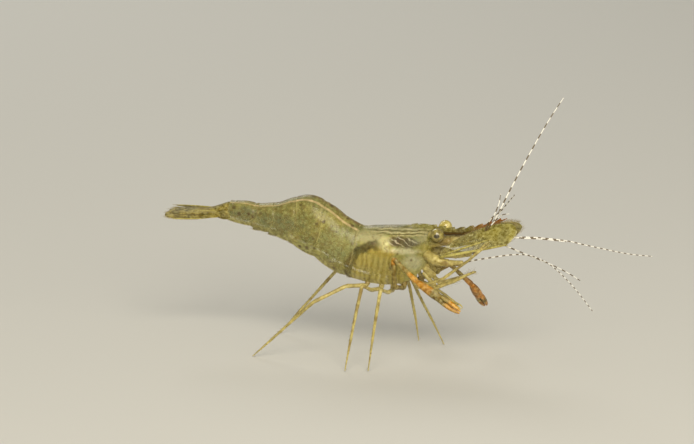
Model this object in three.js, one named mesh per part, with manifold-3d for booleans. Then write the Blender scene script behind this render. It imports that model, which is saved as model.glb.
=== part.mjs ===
// A freshwater glass shrimp, life size, standing still on its six walking legs.
// Millimetres, +Z up. The head points to +X and the animal's left side to +Y.
// The body is one loft, parted by thin cuts into the carapace and the six rings of the abdomen.
// Everything is laid out from the nape, where carapace and abdomen meet on the back;
// at the end the whole animal is set down with the middle of its floor box at the origin.

import * as THREE from "three";
import { mergeVertices } from "three/addons/utils/BufferGeometryUtils.js";
import Module from "manifold-3d";

const wasm = await Module();
wasm.setup();

// ---- Driving dimensions -------------------------------------------------------------------

const FLOOR = -19.2; // height of the floor below the nape
const GAP = 0.1; // clearance between pieces that meet
const WELD = 1e-4; // vertices closer than this are one vertex
const SMOOTHING = 0.02; // detail finer than this, left by the cuts, is dropped
const FEELER_R = 0.25; // radius of every flagellum
const BLADE = 0.5; // thickness of fins, scales and paddles

const BODY_SIDES = 22;
const BODY_STEPS_PER_STATION = 2;
const ROOF_POWER = 2.0; // superellipse power above the waist: 2 is an ellipse
const WALL_POWER = 3.4; // and below it, where the sides fall nearly straight

// Body stations from head to tail, in the plane of symmetry: the back, the lower margin and the half width.
const STATIONS = [
  { back: [10.9, 0.45], margin: [10.7, -3.3], half: 1.55, waist: 0.55 },
  { back: [10.0, 0.6], margin: [10.0, -4.9], half: 2.2, waist: 0.55 },
  { back: [8.0, 0.55], margin: [7.9, -7.0], half: 2.85, waist: 0.55 },
  { back: [5.2, 0.4], margin: [5.2, -7.8], half: 3.15, waist: 0.58 },
  { back: [2.4, 0.15], margin: [2.4, -7.8], half: 3.15, waist: 0.58 },
  { back: [0.2, 0.0], margin: [0.0, -7.4], half: 3.0, waist: 0.55 },
  { back: [-2.1, 1.15], margin: [-2.0, -7.0], half: 2.9, waist: 0.55 },
  { back: [-4.1, 2.55], margin: [-4.0, -6.1], half: 2.8, waist: 0.52 },
  { back: [-6.2, 3.6], margin: [-6.2, -4.9], half: 2.65, waist: 0.5 },
  { back: [-8.1, 3.8], margin: [-8.2, -3.9], half: 2.45, waist: 0.5 },
  { back: [-9.9, 3.3], margin: [-9.8, -3.1], half: 2.25, waist: 0.5 },
  { back: [-12.0, 2.5], margin: [-11.8, -2.3], half: 1.95, waist: 0.5 },
  { back: [-14.6, 2.1], margin: [-14.4, -1.6], half: 1.65, waist: 0.5 },
  { back: [-17.1, 2.25], margin: [-17.2, -0.9], half: 1.4, waist: 0.5 },
  { back: [-19.3, 2.2], margin: [-19.6, -0.5], half: 1.25, waist: 0.5 },
];

// Rear edges of the plates, seen from the side, from the back down to the lower margin.
// notch is how far the next plate's front edge draws back at its lower end.
const EDGES = [
  { points: [[0.1, 2], [0.0, 0], [-0.1, -2.2], [-0.6, -4.4], [-1.0, -6.0], [-0.6, -7.2], [0.6, -8.6]], notch: 0 },
  { points: [[-2.1, 4], [-2.0, 1.3], [-1.95, -1.5], [-1.75, -4.2], [-1.7, -6.0], [-1.5, -8.4]], notch: 0.5 },
  { points: [[-4.8, 5.5], [-4.8, 3.1], [-5.1, 0], [-5.7, -2.6], [-6.2, -4.4], [-5.6, -7.0]], notch: 0.9 },
  { points: [[-9.4, 6], [-9.3, 3.6], [-8.9, 1.8], [-9.2, -0.2], [-10.2, -2.0], [-10.0, -4.6]], notch: 0.8 },
  { points: [[-12.7, 5], [-12.6, 2.4], [-12.4, 1.0], [-12.8, -0.6], [-13.4, -1.6], [-13.1, -3.4]], notch: 0.6 },
  { points: [[-15.3, 5], [-15.3, 2.2], [-15.0, 1.2], [-15.3, 0], [-16.1, -0.8], [-15.9, -2.6]], notch: 0.5 },
];
const RING_COUNT = 6;
const CUT_HALF_DEPTH = 8; // how far the cutting prisms reach to each side
const CUT_REACH = 40; // and how far they reach backwards, up and down

// The hollow under the body, between the two lower margins.
const HOLLOW_START = 8.6;
const HOLLOW_END = -16.4;
const HOLLOW_RISE = 0.17; // ceiling of the hollow, as a share of the body's depth above the margin
const HOLLOW_WALL = 0.5; // thickness of the side plates beside it

// The rostrum: a thin upright blade with saw teeth, which rises out of the back of the head.
const ROSTRUM_TOP = [[6.6, 0.3], [8.4, 0.65], [11.0, 0.65], [13.7, 0.45], [15.8, 0.7], [17.8, 1.2], [19.6, 1.8], [21.6, 2.6]];
const ROSTRUM_BOTTOM = [[21.4, 2.35], [19.2, 1.15], [17.2, 0.25], [15.2, -0.3], [13.4, -0.5], [11.4, -0.7], [9.6, -0.6], [6.6, -0.4]];
const ROSTRUM_THICK = 0.56;
const TOP_TEETH = { from: 8.2, to: 19.8, count: 9, height: 0.32, length: 0.8 };
const BOTTOM_TEETH = { from: 14.6, to: 19.6, count: 4, height: 0.26, length: 0.7 };

const EYE = { centre: [12.0, 2.35, 0.0], radius: 1.0 };
const STALK = { points: [[10.6, 0.75, -0.55], [11.3, 1.35, -0.3], [11.85, 1.9, -0.1]], radii: [0.55, 0.5, 0.62] };
const MOUTH = { centre: [10.7, 0, -5.1], radii: [1.75, 1.25, 1.6] };

const ANTENNULE = {
  points: [[10.4, 0.75, -1.75], [13.0, 0.85, -1.3], [15.8, 0.8, -0.6], [18.5, 0.75, 0.2]],
  radii: [0.7, 0.62, 0.5, 0.42],
};
const ANTENNA_BASE = {
  points: [[10.2, 1.5, -3.2], [12.0, 2.3, -3.8], [13.8, 2.45, -4.0], [15.9, 2.5, -3.75]],
  radii: [0.9, 0.95, 0.62, 0.42],
};
// The antennal scale: a blade with a straight outer edge that ends in a spine.
const SCALE = {
  heel: [12.6, 3.0, -3.1],
  spine: [22.5, 2.65, -0.6],
  across: [0, -0.6, 0.8], // from the outer edge to the inner one
  width: 3.6,
  beyond: 1.3, // how far the rounded tip passes the spine
};

// Flagella by their guide points. The two sides hold different poses.
const FLAGELLA = {
  antennule_outer_flagellum_left: [[18.5, 0.9, 0.45], [19.6, 1.1, 2.05], [21.4, 1.7, 5.95], [23.6, 2.4, 10.5], [26.4, 3.2, 15.9], [28.7, 3.6, 19.8]],
  antennule_inner_flagellum_left: [[18.6, 0.6, -0.05], [20.4, 1.0, -0.35], [22.7, 2.1, -0.75], [26.0, 4.0, -1.2], [28.9, 6.0, -1.9]],
  antennule_outer_flagellum_right: [[18.5, -0.95, 0.5], [19.5, -1.2, 2.6], [21.4, -3.4, 4.4], [23.2, -6.2, 6.6], [24.9, -9.4, 8.6]],
  antennule_inner_flagellum_right: [[18.6, -0.6, -0.1], [20.2, -0.9, -0.5], [22.6, -2.0, -1.15], [28.6, -6.0, -1.7], [32.2, -8.5, -2.2], [34.6, -10.5, -2.7]],
  antenna_flagellum_left: [[15.9, 2.5, -3.7], [19.0, 3.3, -2.5], [22.2, 4.3, -1.3], [27.6, 7.5, -2.1], [31.2, 10.5, -3.5], [35.6, 15.7, -5.7], [38.8, 19.4, -6.9]],
  antenna_flagellum_right: [[15.9, -2.5, -3.7], [19.0, -3.2, -2.7], [24.9, -5.0, -1.15], [29.5, -9.0, -0.9], [34.0, -14.0, -2.2], [38.5, -19.5, -4.4]],
};
const BRANCH_LEAN = { left: [-1.3, 0.5, -0.4], right: [1.2, 0.4, -0.3] }; // the short branch's tip, from the third guide point

// Limbs by their joints, from the body to the tip.
const MAXILLIPED = {
  radii: [0.45, 0.5, 0.4, 0.25],
  left: [[9.6, 0.8, -6.0], [11.5, 1.4, -8.1], [14.3, 1.8, -7.2], [16.8, 1.5, -6.0]],
  right: [[9.6, -0.8, -6.0], [11.6, -1.35, -8.0], [14.6, -1.7, -6.6], [17.3, -1.6, -5.1]],
};
const FIRST_LEG = {
  radii: [0.45, 0.42, 0.36, 0.3, 0.36, 0.25],
  left: [[8.3, 1.0, -6.0], [8.8, 1.9, -8.3], [9.8, 3.0, -9.0], [12.3, 2.5, -10.3], [13.3, 2.1, -10.9], [14.8, 1.6, -11.7]],
  right: [[8.3, -1.0, -6.0], [8.9, -1.9, -8.1], [13.1, -3.3, -6.1], [17.2, -4.5, -2.7], [18.4, -4.8, -1.5], [20.3, -5.0, 0.3]],
};
const CLAW_ARM = {
  radii: [0.5, 0.48, 0.42, 0.48, 0.36, 0.55],
  left: [[7.0, 1.1, -6.0], [7.4, 2.1, -8.3], [9.8, 3.4, -7.4], [12.2, 4.1, -5.9], [13.2, 4.3, -6.9], [15.2, 4.7, -8.8]],
  right: [[7.0, -1.1, -6.0], [7.1, -2.1, -8.2], [6.4, -4.5, -7.5], [6.2, -4.8, -3.2], [7.3, -5.1, -4.0], [9.9, -6.0, -5.9]],
};
const CLAW = {
  left: { wrist: [15.35, 4.95, -9.05], tip: [16.2, 9.7, -13.4], flat: [1, 0, 0.2] },
  right: { wrist: [10.15, -6.05, -6.1], tip: [16.7, -7.2, -9.7], flat: [0.2, 0, 1] },
  palmShare: 0.52,
  palmR: 0.72,
  palmFlat: 0.72,
  fingerR: 0.36,
  tipR: 0.25,
  spread: 0.42,
};
const LEG_RADII = [0.5, 0.48, 0.42, 0.4, 0.36, 0.32, 0.28];
const LEGS = {
  leg_3_right: [[5.4, -1.1, -6.0], [5.5, -2.2, -8.6], [5.5, -5.0, -8.2], [5.2, -7.7, -7.1], [4.7, -8.0, -10.5], [4.1, -8.3, -15.0], [3.5, -8.3, -19.7]],
  leg_4_right: [[3.9, -1.1, -6.0], [3.8, -2.3, -8.5], [3.0, -4.8, -8.1], [2.3, -7.0, -6.9], [1.7, -7.6, -10.2], [0.9, -8.5, -15.3], [0.3, -9.2, -19.7]],
  leg_5_right: [[2.4, -1.1, -6.0], [1.6, -2.3, -8.2], [-1.0, -3.8, -8.1], [-5.2, -6.0, -10.2], [-7.6, -6.0, -12.5], [-12.0, -5.9, -16.8], [-14.9, -5.8, -19.7]],
  leg_3_left: [[5.4, 1.1, -6.0], [5.5, 2.2, -8.7], [5.6, 4.2, -9.4], [5.9, 6.2, -9.0], [7.0, 6.8, -11.8], [9.0, 7.0, -15.6], [10.9, 7.2, -19.7]],
  leg_4_left: [[3.9, 1.1, -6.0], [3.9, 2.3, -8.6], [4.4, 4.9, -8.7], [4.7, 7.2, -8.0], [5.3, 7.8, -11.0], [6.1, 8.1, -15.5], [6.7, 8.2, -19.7]],
  leg_5_left: [[2.4, 1.1, -6.0], [1.8, 2.3, -8.5], [-1.4, 4.2, -8.4], [-4.5, 5.5, -7.9], [-6.9, 5.8, -10.7], [-11.4, 6.1, -16.0], [-14.3, 6.3, -19.7]],
};
const KNEE = 3; // the joint where a walking leg is parted into its upper and lower length
const ELBOW = 3; // and a claw arm
const ANTENNA_CUT = 3; // and the guide point where a long antenna is parted
const KNUCKLE = 1.16; // limbs swell by this at each joint
const WAIST = 0.9; // and thin to this between joints

// The tail fan.
const TELSON = { root: [-19.5, 0, 1.35], tip: [-27.4, 0, 1.05], half: 1.0, tipHalf: 0.4, thick: 0.6 };
const PADDLES = {
  uropod_inner: { root: [-20.9, 0.95, 0.5], tip: [-28.2, 2.0, 0.35], width: 2.0 },
  uropod_outer: { root: [-20.9, 1.5, -0.15], tip: [-28.6, 3.55, -0.38], width: 2.3 },
};
const PADDLE_TILT = 0.1; // the paddles' outer edges hang by this much per unit of width
const UROPOD_BASE = { points: [[-19.2, 0.8, 0.35], [-20.2, 1.15, 0.15], [-20.95, 1.35, 0.1]], radii: [0.6, 0.6, 0.4] };

// Swimmerets, one joined pair to each of the first five rings, swept back between the side plates.
const SWIMMERETS = [
  { at: [-1.1, -6.3], slope: 0.3, length: 2.6, width: 1.2 },
  { at: [-4.0, -5.0], slope: 0.42, length: 3.0, width: 1.3 },
  { at: [-7.3, -3.4], slope: 0.26, length: 3.3, width: 1.2 },
  { at: [-11.0, -2.2], slope: 0.14, length: 2.5, width: 0.95 },
  { at: [-13.9, -1.6], slope: 0.12, length: 1.9, width: 0.75 },
];
const SWIMMERET_Y = [1.15, 1.1, 1.0, 0.68, 0.52]; // each leaf's distance from the middle
const SWIMMERET_BAR = 0.25; // radius of the bar that joins a pair

// ---- Materials ----------------------------------------------------------------------------

const finish = (color, roughness) => new THREE.MeshStandardMaterial({ color, roughness, metalness: 0 });
const SHELL = finish(0xa8a284, 0.35);
const FIN = finish(0xb3ab86, 0.3);
const LIMB = finish(0xa99f7c, 0.4);
const CLAW_ORANGE = finish(0xc8701f, 0.4);
const FEELER = finish(0xd8d2bd, 0.5);
const EYE_CORNEA = finish(0x8d8746, 0.15);
const MOUTH_FLESH = finish(0x9c9a72, 0.4);

// ---- Tools --------------------------------------------------------------------------------

const vec = (p) => new THREE.Vector3(p[0], p[1], p[2]);
const mix = (a, b, t) => a + (b - a) * t;
const mirrored = (p) => [p[0], -p[1], p[2]];
const sideways = (p, side) => (side === "left" ? p : mirrored(p));

/** A three.js geometry as a solid. */
function solidOf(geometry) {
  const bare = geometry.index ? geometry.toNonIndexed() : geometry.clone();
  bare.deleteAttribute("normal");
  bare.deleteAttribute("uv");
  const merged = mergeVertices(bare, WELD);
  const vertProperties = merged.attributes.position.array;
  const triVerts = new Uint32Array(merged.index.array);
  return new wasm.Manifold(new wasm.Mesh({ numProp: 3, vertProperties, triVerts }));
}

/** A solid as a three.js geometry. */
function geometryOf(solid) {
  const mesh = solid.getMesh();
  const positions = new Float32Array(mesh.numVert * 3);
  for (let i = 0; i < mesh.numVert; i++) {
    const from = i * mesh.numProp;
    positions.set(mesh.vertProperties.subarray(from, from + 3), i * 3);
  }
  const geometry = new THREE.BufferGeometry();
  geometry.setAttribute("position", new THREE.BufferAttribute(positions, 3));
  geometry.setIndex(new THREE.BufferAttribute(new Uint32Array(mesh.triVerts), 1));
  geometry.computeVertexNormals();
  return geometry;
}

/** A closed cylinder whose every vertex goes where place(t, across, up) says. */
function shapedCylinder(sides, steps, place) {
  const geometry = new THREE.CylinderGeometry(1, 1, 1, sides, steps);
  const position = geometry.attributes.position;
  for (let i = 0; i < position.count; i++) {
    const p = place(0.5 - position.getY(i), position.getX(i), position.getZ(i));
    position.setXYZ(i, p.x, p.y, p.z);
  }
  return geometry;
}

/** A Catmull-Rom value through a row of numbers, at u counted in steps of the row. */
function through(values, u) {
  const i = Math.min(Math.floor(u), values.length - 2);
  const t = u - i;
  const p1 = values[i];
  const p2 = values[i + 1];
  const p0 = i > 0 ? values[i - 1] : 2 * p1 - p2;
  const p3 = i + 2 < values.length ? values[i + 2] : 2 * p2 - p1;
  const a = 2 * p1;
  const b = p2 - p0;
  const c = 2 * p0 - 5 * p1 + 4 * p2 - p3;
  const d = 3 * p1 - p0 - 3 * p2 + p3;
  return 0.5 * (a + b * t + c * t * t + d * t * t * t);
}

/** A round limb that tapers along a line through joints, with a knuckle at each joint. */
function limb(points, radii, { sides = 7, perLink = 2, tension = 0.35, knuckle = KNUCKLE, flat = null, squeeze = 1 } = {}) {
  const curve = new THREE.CatmullRomCurve3(points.map(vec), false, "catmullrom", tension);
  const links = points.length - 1;
  const steps = links * perLink;
  const rings = [];
  let across = null;
  for (let k = 0; k <= steps; k++) {
    const u = k / perLink;
    const along = curve.getTangent(k / steps).normalize();
    if (!across) {
      const start = flat ? vec(flat) : Math.abs(along.z) > 0.9 ? new THREE.Vector3(1, 0, 0) : new THREE.Vector3(0, 0, 1);
      across = start.clone().cross(along);
    }
    across = across.clone().addScaledVector(along, -across.dot(along)).normalize();
    const i = Math.min(Math.floor(u), links - 1);
    const atEnd = k === 0 || k === steps;
    const swell = atEnd || knuckle === 1 ? 1 : k % perLink === 0 ? knuckle : WAIST;
    const radius = mix(radii[i], radii[i + 1], u - i) * swell;
    rings.push({ at: curve.getPoint(k / steps), across, up: along.clone().cross(across), radius });
  }
  return shapedCylinder(sides, steps, (t, x, z) => {
    const ring = rings[Math.round(t * steps)];
    return ring.at.clone()
      .addScaledVector(ring.across, x * ring.radius)
      .addScaledVector(ring.up, z * ring.radius * squeeze);
  });
}

/** The largest of a solid's separate bodies. */
function largest(solid) {
  return solid.decompose().sort((a, b) => b.volume() - a.volume())[0];
}

/** A long solid parted by a thin cut at one of the joints of its line: the root length and the tip length. */
function parted(solid, points, joint) {
  const [before, at, after] = [-1, 0, 1].map((step) => vec(points[joint + step]));
  const inward = at.clone().sub(before).normalize();
  const along = after.clone().sub(at).normalize().add(inward).normalize();
  const offset = along.dot(at);
  const rootLength = solid.trimByPlane(along.clone().negate().toArray(), GAP / 2 - offset);
  const tipLength = solid.trimByPlane(along.toArray(), GAP / 2 + offset);
  return [rootLength, tipLength].map(largest);
}

/** A flat blade cut from a shape: the shape's x runs along, its y across, and its middle plane passes through root. */
function blade(shape, thick, root, along, across) {
  const geometry = new THREE.ExtrudeGeometry(shape, { depth: thick, bevelEnabled: false, curveSegments: 3 });
  geometry.translate(0, 0, -thick / 2);
  const x = along.clone().normalize();
  const y = across.clone().addScaledVector(x, -across.dot(x)).normalize();
  const z = x.clone().cross(y);
  geometry.applyMatrix4(new THREE.Matrix4().makeBasis(x, y, z).setPosition(root));
  return geometry;
}

/** A closed shape through points in the plane of symmetry, extruded to both sides. */
function uprightPrism(shape, halfDepth) {
  const geometry = new THREE.ExtrudeGeometry(shape, { depth: 2 * halfDepth, bevelEnabled: false, curveSegments: 3 });
  geometry.rotateX(Math.PI / 2);
  geometry.translate(0, halfDepth, 0);
  return geometry;
}

// ---- The body -----------------------------------------------------------------------------

/** The body's section at u, counted in stations, made wider all round by grow. */
function section(u, grow) {
  const value = (pick) => through(STATIONS.map(pick), u);
  const back = new THREE.Vector2(value((s) => s.back[0]), value((s) => s.back[1]));
  const margin = new THREE.Vector2(value((s) => s.margin[0]), value((s) => s.margin[1]));
  const down = margin.clone().sub(back).normalize();
  back.addScaledVector(down, -grow);
  margin.addScaledVector(down, grow);
  return { back, margin, half: value((s) => s.half) + grow, waist: value((s) => s.waist) };
}

function bodyLoft(grow) {
  const last = STATIONS.length - 1;
  return shapedCylinder(BODY_SIDES, last * BODY_STEPS_PER_STATION, (t, x, z) => {
    const s = section((1 - t) * last, grow); // from the tail to the head
    const power = 2 / (z >= 0 ? ROOF_POWER : WALL_POWER);
    const across = Math.sign(x) * Math.abs(x) ** power * s.half;
    const rise = Math.abs(z) ** power;
    const share = z >= 0 ? s.waist * (1 - rise) : s.waist + (1 - s.waist) * rise;
    const point = s.back.clone().lerp(s.margin, share);
    const push = t === 1 ? grow : t === 0 ? -grow : 0;
    return new THREE.Vector3(point.x + push, across, point.y);
  });
}

/** The space between the side plates, under the belly. */
function hollow(shrink) {
  const last = STATIONS.length - 1;
  const steps = 3 * last;
  const inside = (x) => x < HOLLOW_START - shrink && x > HOLLOW_END + shrink;
  const at = [];
  for (let k = 0; k <= steps; k++) {
    const s = section((k / steps) * last, 0);
    if (inside(s.margin.x)) at.push(s);
  }
  at.reverse();
  return shapedCylinder(4, at.length - 1, (t, x, z) => {
    const s = at[Math.round(t * (at.length - 1))];
    const corner = { across: Math.sign(x - z + 1e-9 * x), up: Math.sign(x + z) };
    if (x === 0 && z === 0) corner.across = corner.up = 0;
    const share = corner.up > 0 ? 1 - HOLLOW_RISE + shrink / 8 : corner.up < 0 ? 1.25 : 1;
    const point = s.back.clone().lerp(s.margin, share);
    return new THREE.Vector3(point.x, corner.across * (s.half - HOLLOW_WALL - shrink), point.y);
  });
}

/** Everything behind a plate's rear edge; notch draws the edge back towards its lower end. */
function behind(edge, gap, notch) {
  const n = edge.points.length - 1;
  const line = edge.points.map(([x, z], i) => {
    const low = Math.max(0, i - 2) / (n - 2);
    return new THREE.Vector2(x - gap - notch * low * low, z);
  });
  const [first, last] = [line[0], line[n]];
  const shape = new THREE.Shape();
  shape.moveTo(first.x, first.y);
  shape.splineThru(line.slice(1));
  shape.lineTo(last.x, -CUT_REACH);
  shape.lineTo(-CUT_REACH, -CUT_REACH);
  shape.lineTo(-CUT_REACH, CUT_REACH);
  shape.lineTo(first.x, CUT_REACH);
  shape.closePath();
  return solidOf(uprightPrism(shape, CUT_HALF_DEPTH));
}

/** The height of a line of points at x. */
function heightAt(points, x) {
  const row = points[0][0] < points[points.length - 1][0] ? points : [...points].reverse();
  const i = Math.max(1, row.findIndex((p) => p[0] >= x));
  const t = (x - row[i - 1][0]) / (row[i][0] - row[i - 1][0]);
  return mix(row[i - 1][1], row[i][1], t);
}

/** The rostrum's side view, with its saw teeth leaning forward. */
function rostrumShape() {
  const edge = (points, teeth, up) => {
    const out = [];
    const pitch = (teeth.to - teeth.from) / (teeth.count - 1);
    const direction = up;
    for (let k = 0; k < teeth.count; k++) {
      const x = teeth.from + pitch * (up > 0 ? k : teeth.count - 1 - k);
      const base = [x, heightAt(points, x)];
      const peak = [x + teeth.length, heightAt(points, x + teeth.length) + up * teeth.height];
      const foot = [x + teeth.length * 0.9, heightAt(points, x + teeth.length * 0.9)];
      out.push(...(direction > 0 ? [base, peak, foot] : [foot, peak, base]));
    }
    const before = points.filter((p) => (up > 0 ? p[0] < teeth.from : p[0] > teeth.to + teeth.length));
    const after = points.filter((p) => (up > 0 ? p[0] > teeth.to + teeth.length : p[0] < teeth.from));
    return [...before, ...out, ...after];
  };
  const outline = [...edge(ROSTRUM_TOP, TOP_TEETH, 1), ...edge(ROSTRUM_BOTTOM, BOTTOM_TEETH, -1)];
  return new THREE.Shape(outline.map(([x, z]) => new THREE.Vector2(x, z)));
}

const body = solidOf(bodyLoft(0));
const bodyHollow = solidOf(hollow(0));
const hollowBody = body.subtract(bodyHollow);
const keepClear = solidOf(bodyLoft(GAP)).subtract(solidOf(hollow(GAP)));

/** A limb's solid, cut a little clear of the body. */
const clearOfBody = (solid) => largest(solid.subtract(keepClear));

function carapace() {
  const shield = hollowBody.subtract(behind(EDGES[0], 0, 0));
  return shield.add(solidOf(uprightPrism(rostrumShape(), ROSTRUM_THICK / 2)));
}

function ring(number) {
  const front = EDGES[number - 1];
  const piece = hollowBody.intersect(behind(front, GAP, front.notch));
  return number < RING_COUNT ? piece.subtract(behind(EDGES[number], 0, 0)) : piece;
}

// ---- Head ---------------------------------------------------------------------------------

function eye(side, grow = 0) {
  const geometry = new THREE.SphereGeometry(EYE.radius + grow, 12, 8);
  geometry.rotateX(Math.PI / 2);
  return solidOf(geometry.translate(...sideways(EYE.centre, side)));
}

function eyestalk(side) {
  const points = STALK.points.map((p) => sideways(p, side));
  return clearOfBody(solidOf(limb(points, STALK.radii, { knuckle: 1 }))).subtract(eye(side, GAP));
}

function mouthShape(grow) {
  const geometry = new THREE.SphereGeometry(1, 12, 8);
  geometry.scale(...MOUTH.radii.map((r) => r + grow));
  return solidOf(geometry.translate(...MOUTH.centre));
}

const mirroredLimb = (spec, side, options) => solidOf(limb(spec.points.map((p) => sideways(p, side)), spec.radii, options));

function antennulePeduncle(side, grow = 0) {
  const radii = ANTENNULE.radii.map((r) => r + grow);
  return clearOfBody(mirroredLimb({ points: ANTENNULE.points, radii }, side));
}

function antennaBase(side, grow = 0) {
  const radii = ANTENNA_BASE.radii.map((r) => r + grow);
  return clearOfBody(mirroredLimb({ points: ANTENNA_BASE.points, radii }, side)).subtract(mouthShape(GAP));
}

/** The scale's outline: x along the outer edge, y across the blade. */
function scaleShape(length) {
  const { width, beyond } = SCALE;
  const shape = new THREE.Shape();
  shape.moveTo(0, 0);
  shape.lineTo(length, 0);
  shape.lineTo(length - 0.5, 0.45);
  shape.quadraticCurveTo(length + beyond, width * 0.35, length + beyond, width * 0.72);
  shape.quadraticCurveTo(length + beyond * 0.7, width, length - 1.4, width);
  shape.quadraticCurveTo(length * 0.45, width, 0.9, width * 0.42);
  shape.closePath();
  return shape;
}

function antennalScale(side) {
  const heel = vec(sideways(SCALE.heel, side));
  const spine = vec(sideways(SCALE.spine, side));
  const across = vec(sideways(SCALE.across, side));
  const shape = scaleShape(heel.distanceTo(spine));
  const leaf = solidOf(blade(shape, BLADE, heel, spine.clone().sub(heel), across));
  const neighbours = [
    antennaBase(side, GAP),
    antennulePeduncle(side, GAP),
    flagellum(`antennule_outer_flagellum_${side}`, GAP),
  ];
  return largest(neighbours.reduce((rest, other) => rest.subtract(other), leaf));
}

/** A flagellum; the outer ones of the antennules fork near the base into a long and a short branch. */
function flagellum(name, grow = 0) {
  const points = FLAGELLA[name];
  const side = name.endsWith("left") ? "left" : "right";
  const radius = FEELER_R + grow;
  const branch = (line) => solidOf(limb(line, line.map(() => radius), { sides: 6, tension: 0.5, knuckle: 1 }));
  if (!name.includes("outer")) return branch(points);
  const reach = vec(points[2]).add(vec(BRANCH_LEAN[side]));
  const middle = vec(points[1]).lerp(reach, 0.5);
  return branch(points).add(branch([points[0], middle.toArray(), reach.toArray()]));
}

// ---- Legs ---------------------------------------------------------------------------------

const floorSlab = solidOf(new THREE.BoxGeometry(200, 200, 10).translate(0, 0, FLOOR - 5));

function bodyLimb(points, radii, options) {
  return clearOfBody(solidOf(limb(points, radii, options)));
}

/** A pincer: a flattened palm that ends in a fixed and a movable finger. */
function pincer({ wrist, tip, flat }) {
  const [from, to] = [vec(wrist), vec(tip)];
  const along = to.clone().sub(from);
  const length = along.length();
  along.normalize();
  const spreadWay = vec(flat).addScaledVector(along, -vec(flat).dot(along)).normalize();
  const place = (share, off) => from.clone().addScaledVector(along, length * share).addScaledVector(spreadWay, off).toArray();
  const palm = limb(
    [place(0, 0), place(CLAW.palmShare * 0.5, 0), place(CLAW.palmShare, 0)],
    [CLAW.palmR * 0.62, CLAW.palmR, CLAW.palmR],
    { sides: 10, knuckle: 1, flat: spreadWay.toArray(), squeeze: 1 / CLAW.palmFlat },
  );
  const finger = (way) => limb(
    [place(CLAW.palmShare * 0.92, way * CLAW.spread), place(0.78, way * (CLAW.spread + 0.1)), place(1, way * CLAW.tipR * 1.25)],
    [CLAW.fingerR, CLAW.fingerR, CLAW.tipR],
    { sides: 6, knuckle: 1 },
  );
  return solidOf(palm).add(solidOf(finger(1))).add(solidOf(finger(-1)));
}

function walkingLeg(name) {
  return bodyLimb(LEGS[name], LEG_RADII).subtract(floorSlab);
}

// ---- Abdomen's limbs and tail -------------------------------------------------------------

/** A long oval leaf of the given length and width, which starts narrow. */
function leafShape(length, width) {
  const shape = new THREE.Shape();
  shape.moveTo(0, -width * 0.2);
  shape.quadraticCurveTo(length * 0.35, -width * 0.55, length * 0.72, -width * 0.5);
  shape.quadraticCurveTo(length, -width * 0.45, length, 0);
  shape.quadraticCurveTo(length, width * 0.45, length * 0.72, width * 0.5);
  shape.quadraticCurveTo(length * 0.35, width * 0.55, 0, width * 0.2);
  shape.closePath();
  return shape;
}

function swimmeretPair(pair) {
  const { at, slope, length, width } = SWIMMERETS[pair - 1];
  const y = SWIMMERET_Y[pair - 1];
  const across = new THREE.Vector3(0, 1, 0);
  const leaf = (way) => {
    const root = new THREE.Vector3(at[0], way * y, at[1]);
    return solidOf(blade(leafShape(length, width), BLADE, root, new THREE.Vector3(-1, 0, slope), across));
  };
  const ends = [-1, 1].map((way) => [at[0] - 0.3, way * y, at[1]]);
  const bar = solidOf(limb(ends, [SWIMMERET_BAR, SWIMMERET_BAR], { sides: 6, perLink: 1, knuckle: 1 }));
  return clearOfBody(leaf(-1).add(leaf(1)).add(bar));
}

function telson() {
  const { half, tipHalf, thick } = TELSON;
  const [root, tip] = [vec(TELSON.root), vec(TELSON.tip)];
  const length = root.distanceTo(tip);
  const shape = new THREE.Shape();
  shape.moveTo(0, -half * 0.8);
  shape.quadraticCurveTo(length * 0.25, -half * 1.15, length * 0.5, -half * 0.8);
  shape.lineTo(length - 0.3, -tipHalf);
  shape.lineTo(length, 0);
  shape.lineTo(length - 0.3, tipHalf);
  shape.lineTo(length * 0.5, half * 0.8);
  shape.quadraticCurveTo(length * 0.25, half * 1.15, 0, half * 0.8);
  shape.closePath();
  return clearOfBody(solidOf(blade(shape, thick, root, tip.clone().sub(root), new THREE.Vector3(0, 1, 0))));
}

function uropodBase(side, grow = 0) {
  const radii = UROPOD_BASE.radii.map((r) => r + grow);
  return clearOfBody(mirroredLimb({ points: UROPOD_BASE.points, radii }, side, { knuckle: 1 }));
}

function paddle(kind, side) {
  const { root, tip, width } = PADDLES[kind];
  const [from, to] = [vec(sideways(root, side)), vec(sideways(tip, side))];
  const across = vec(sideways([0, 1, -PADDLE_TILT], side));
  return solidOf(blade(leafShape(from.distanceTo(to), width), BLADE, from, to.clone().sub(from), across))
    .subtract(uropodBase(side, GAP));
}

// ---- The whole animal ---------------------------------------------------------------------

const shrimp = new THREE.Group();
const SIDES = ["left", "right"];

function place(name, solid, material) {
  const mesh = new THREE.Mesh(geometryOf(largest(solid.simplify(SMOOTHING))), material);
  mesh.name = name;
  shrimp.add(mesh);
}

place("carapace", carapace(), SHELL);
for (let n = 1; n <= RING_COUNT; n++) place(`abdomen_ring_${n}`, ring(n), SHELL);
place("mouthparts", clearOfBody(mouthShape(0)), MOUTH_FLESH);
for (const pair of [1, 2, 3, 4, 5]) place(`swimmerets_${pair}`, swimmeretPair(pair), FIN);
place("telson", telson(), FIN);

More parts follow.
